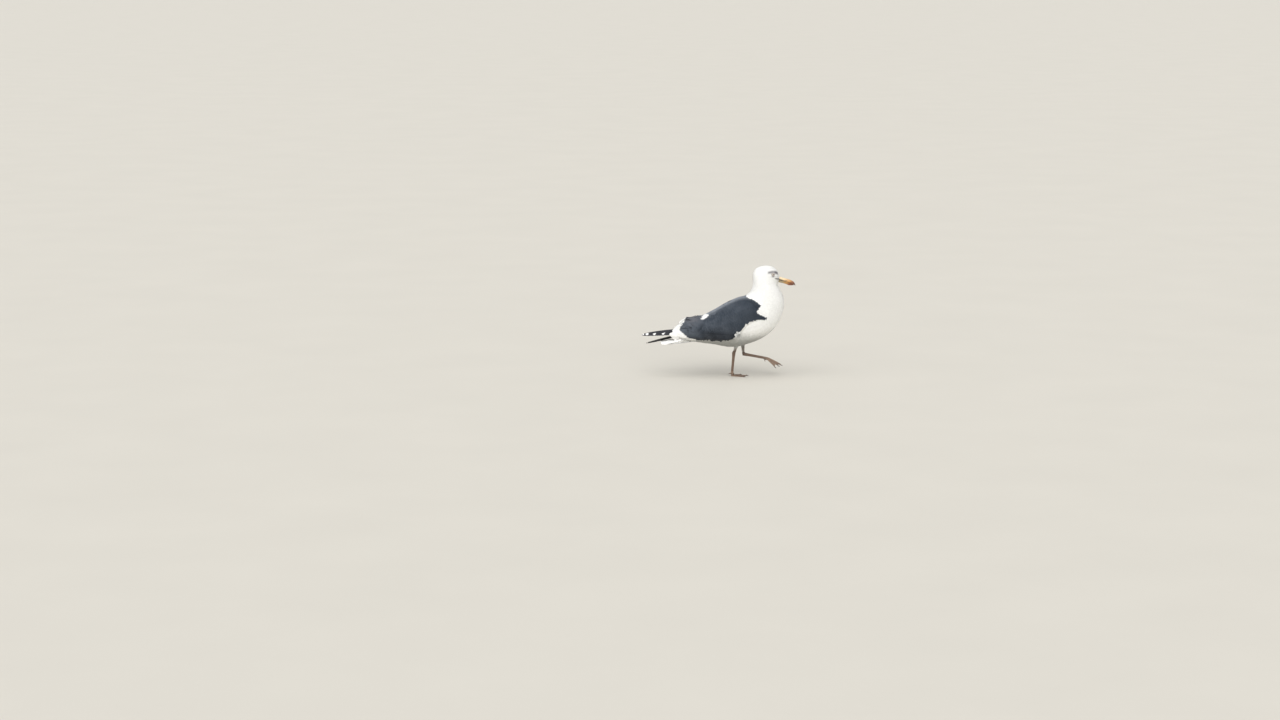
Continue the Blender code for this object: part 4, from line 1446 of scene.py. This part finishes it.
def coat_roots(surface):
    """Root places of all the small feathers, sorted into pieces: {piece: places}."""
    roots = scattered(surface, root_spacing, rooting_ground, 2)
    x, _, z = in_mm(roots)
    dark = inside(SLATE_OUTLINE, roots + 0.4 * coat_length(roots)[:, None] * coat_flow(roots))
    head = ~dark & (z > HEAD_FROM)
    neck = ~dark & ~head & (z > NECK_FROM)
    breast = ~dark & ~head & ~neck & (x > BREAST_FRONT)
    belly = ~(dark | head | neck | breast)
    left = roots[:, 1] > 0
    # Under the large feathers of the folded wing the small ones are only a lining.
    lining = dark & (x < np.interp(z, [116, 130, 142, 165, 176], [-6, 2, -34, -70, -150]))
    dark &= ~lining
    return {
        "feathers_face": roots[head & (x > FACE_FRONT)],
        "feathers_crown": roots[head & (x <= FACE_FRONT)],
        "feathers_neck": roots[neck],
        "feathers_breast": roots[breast],
        "feathers_belly": roots[belly],
        "feathers_wing_lining": roots[lining],
        "feathers_mantle_left": roots[dark & left],
        "feathers_mantle_right": roots[dark & ~left],
    }


# The small feathers of each piece: rows, columns, width as a share of the length, stretch of the length,
# softness, how frayed their tips are, and how many millimetres those are raised.
SMALL_LOOKS = {
    "feathers_face": (ROWS_SMALL, 3, 0.36, 1.45, 0.92, 0.9, 0.0),
    "feathers_crown": (ROWS_SMALL, 3, 0.36, 1.45, 0.92, 0.9, 0.0),
    "feathers_neck": (ROWS_MIDDLE, 3, 0.44, 1.4, 0.9, 0.9, 0.0),
    "feathers_breast": (ROWS_MIDDLE, 5, 0.62, 1.3, 0.85, 0.5, 0.0),
    "feathers_belly": (ROWS_MIDDLE, 5, 0.60, 1.3, 0.85, 0.5, 0.0),
    "feathers_wing_lining": (ROWS_MIDDLE, 3, 0.62, 1.1, 0.6, 0.3, 0.0),
    "feathers_mantle_left": (ROWS_LARGE, 5, 0.66, 1.15, 0.6, 0.3, 0.9),
    "feathers_mantle_right": (ROWS_LARGE, 5, 0.66, 1.15, 0.6, 0.3, 0.9),
}


def build_coat(surface):
    white = plumage("white_vanes", 0.78, 0.12 * MM, 0.93, 1.03, 0.25, 0.3)
    slate = plumage("slate_vanes", 0.62, 0.18 * MM, 0.82, 1.16, 0.05, 0.2)
    black = plumage("black_vanes", 0.45, 0.18 * MM, 0.8, 1.2, 0.02, 0.25)
    for seed, (name, roots) in enumerate(coat_roots(surface).items()):
        rows, columns, fatness, stretch, softness, fray, raised = SMALL_LOOKS[name]
        dark = "mantle" in name or "wing" in name
        low = np.interp(roots[:, 0] / MM, [-60, 20], [1.0, 0.1]) * raised
        feather_tract(
            name, surface, roots, rows, columns, fatness, 100 + 7 * seed, slate if dark else white,
            "slate_plumage" if dark else "white_plumage", crescent_tips if "mantle" in name else None, fray,
            stretch, softness, low,
        )
    for seed, (name, table) in enumerate(wing_rows().items()):
        side_feathers("feathers_" + name, surface, table, slate, 300 + seed, name == "tertials")
    for name, side in SIDES.items():
        build_primaries(name, side, black)
    build_tail(white)
    build_rump(white)


# ---------------- the stage


# The floor reaches this far each way, in metres.
FLOOR_HALF = 150.0
# The suns: (the way to each, how wide it is in degrees, its strength).
SUNS = {
    "light_above": ((-0.15, -0.35, 1.0), 70, 1.0),
    "light_front": ((0.3, -1.0, 0.75), 50, 1.15),
    "light_behind": ((-0.95, -0.65, 0.65), 60, 0.75),
}
# The camera looks down at this angle, at this place, from this far off.
CAMERA_RISE = math.radians(9)
CAMERA_AIM = Vector((-0.2852, 0, 0.0499))
CAMERA_REACH = 8.487


def build_stage():
    """A plain pale floor, soft light from above, and the camera at the photograph's viewing angle."""
    corners = [(x * FLOOR_HALF, y * FLOOR_HALF, 0) for x, y in ((-1, -1), (1, -1), (1, 1), (-1, 1))]
    floor = mesh_object("floor", corners, [(0, 1, 2, 3)], smooth=False)
    material, tree, shader = new_material("floor_pale", 0.85)
    toned(tree, shader, FLOOR_PALE, 0.97, 1.03, noise(tree, 3.0, 3.0, object_place(tree)))
    floor.data.materials.append(material)

    world = bpy.data.worlds.new("soft_sky")
    bpy.context.scene.world = world
    world.use_nodes = True
    sky = world.node_tree.nodes["Background"]
    sky.inputs["Color"].default_value = (0.95, 0.97, 1.0, 1)
    sky.inputs["Strength"].default_value = 0.62

    for name, (way, width, strength) in SUNS.items():
        data = bpy.data.lights.new(name, "SUN")
        data.angle = math.radians(width)
        data.energy = strength
        light = bpy.data.objects.new(name, data)
        light.rotation_euler = Vector(way).to_track_quat("Z", "Y").to_euler()
        bpy.context.scene.collection.objects.link(light)

    data = bpy.data.cameras.new("camera")
    data.lens, data.sensor_width, data.clip_end = 77, 36, 500
    camera = bpy.data.objects.new("camera", data)
    camera.location = CAMERA_AIM + Vector((0, -math.cos(CAMERA_RISE), math.sin(CAMERA_RISE))) * CAMERA_REACH
    camera.rotation_euler = (math.pi / 2 - CAMERA_RISE, 0, 0)
    bpy.context.scene.collection.objects.link(camera)
    bpy.context.scene.camera = camera
    bpy.context.scene.view_settings.view_transform = "Standard"


def main():
    build_stage()
    body = envelope_surface(BODY_VOXEL)
    lie = envelope_surface(LIE_VOXEL, "tail", "leg_left", "leg_right")
    build_skin(body)
    build_coat(lie)
    wet = eye_material()
    horn = horn_material("bill_sheath", 0.38, 0.86, 1.12, 300.0)
    for name, side in SIDES.items():
        build_eye("eyeball_" + name, side, wet)
    bill_half("bill_upper_horn", UPPER_BILL, horn)
    bill_half("bill_lower_horn", LOWER_BILL, horn)
    build_claws(horn_material("claw_sheath", 0.35, 0.7, 1.4, 700.0))


main()
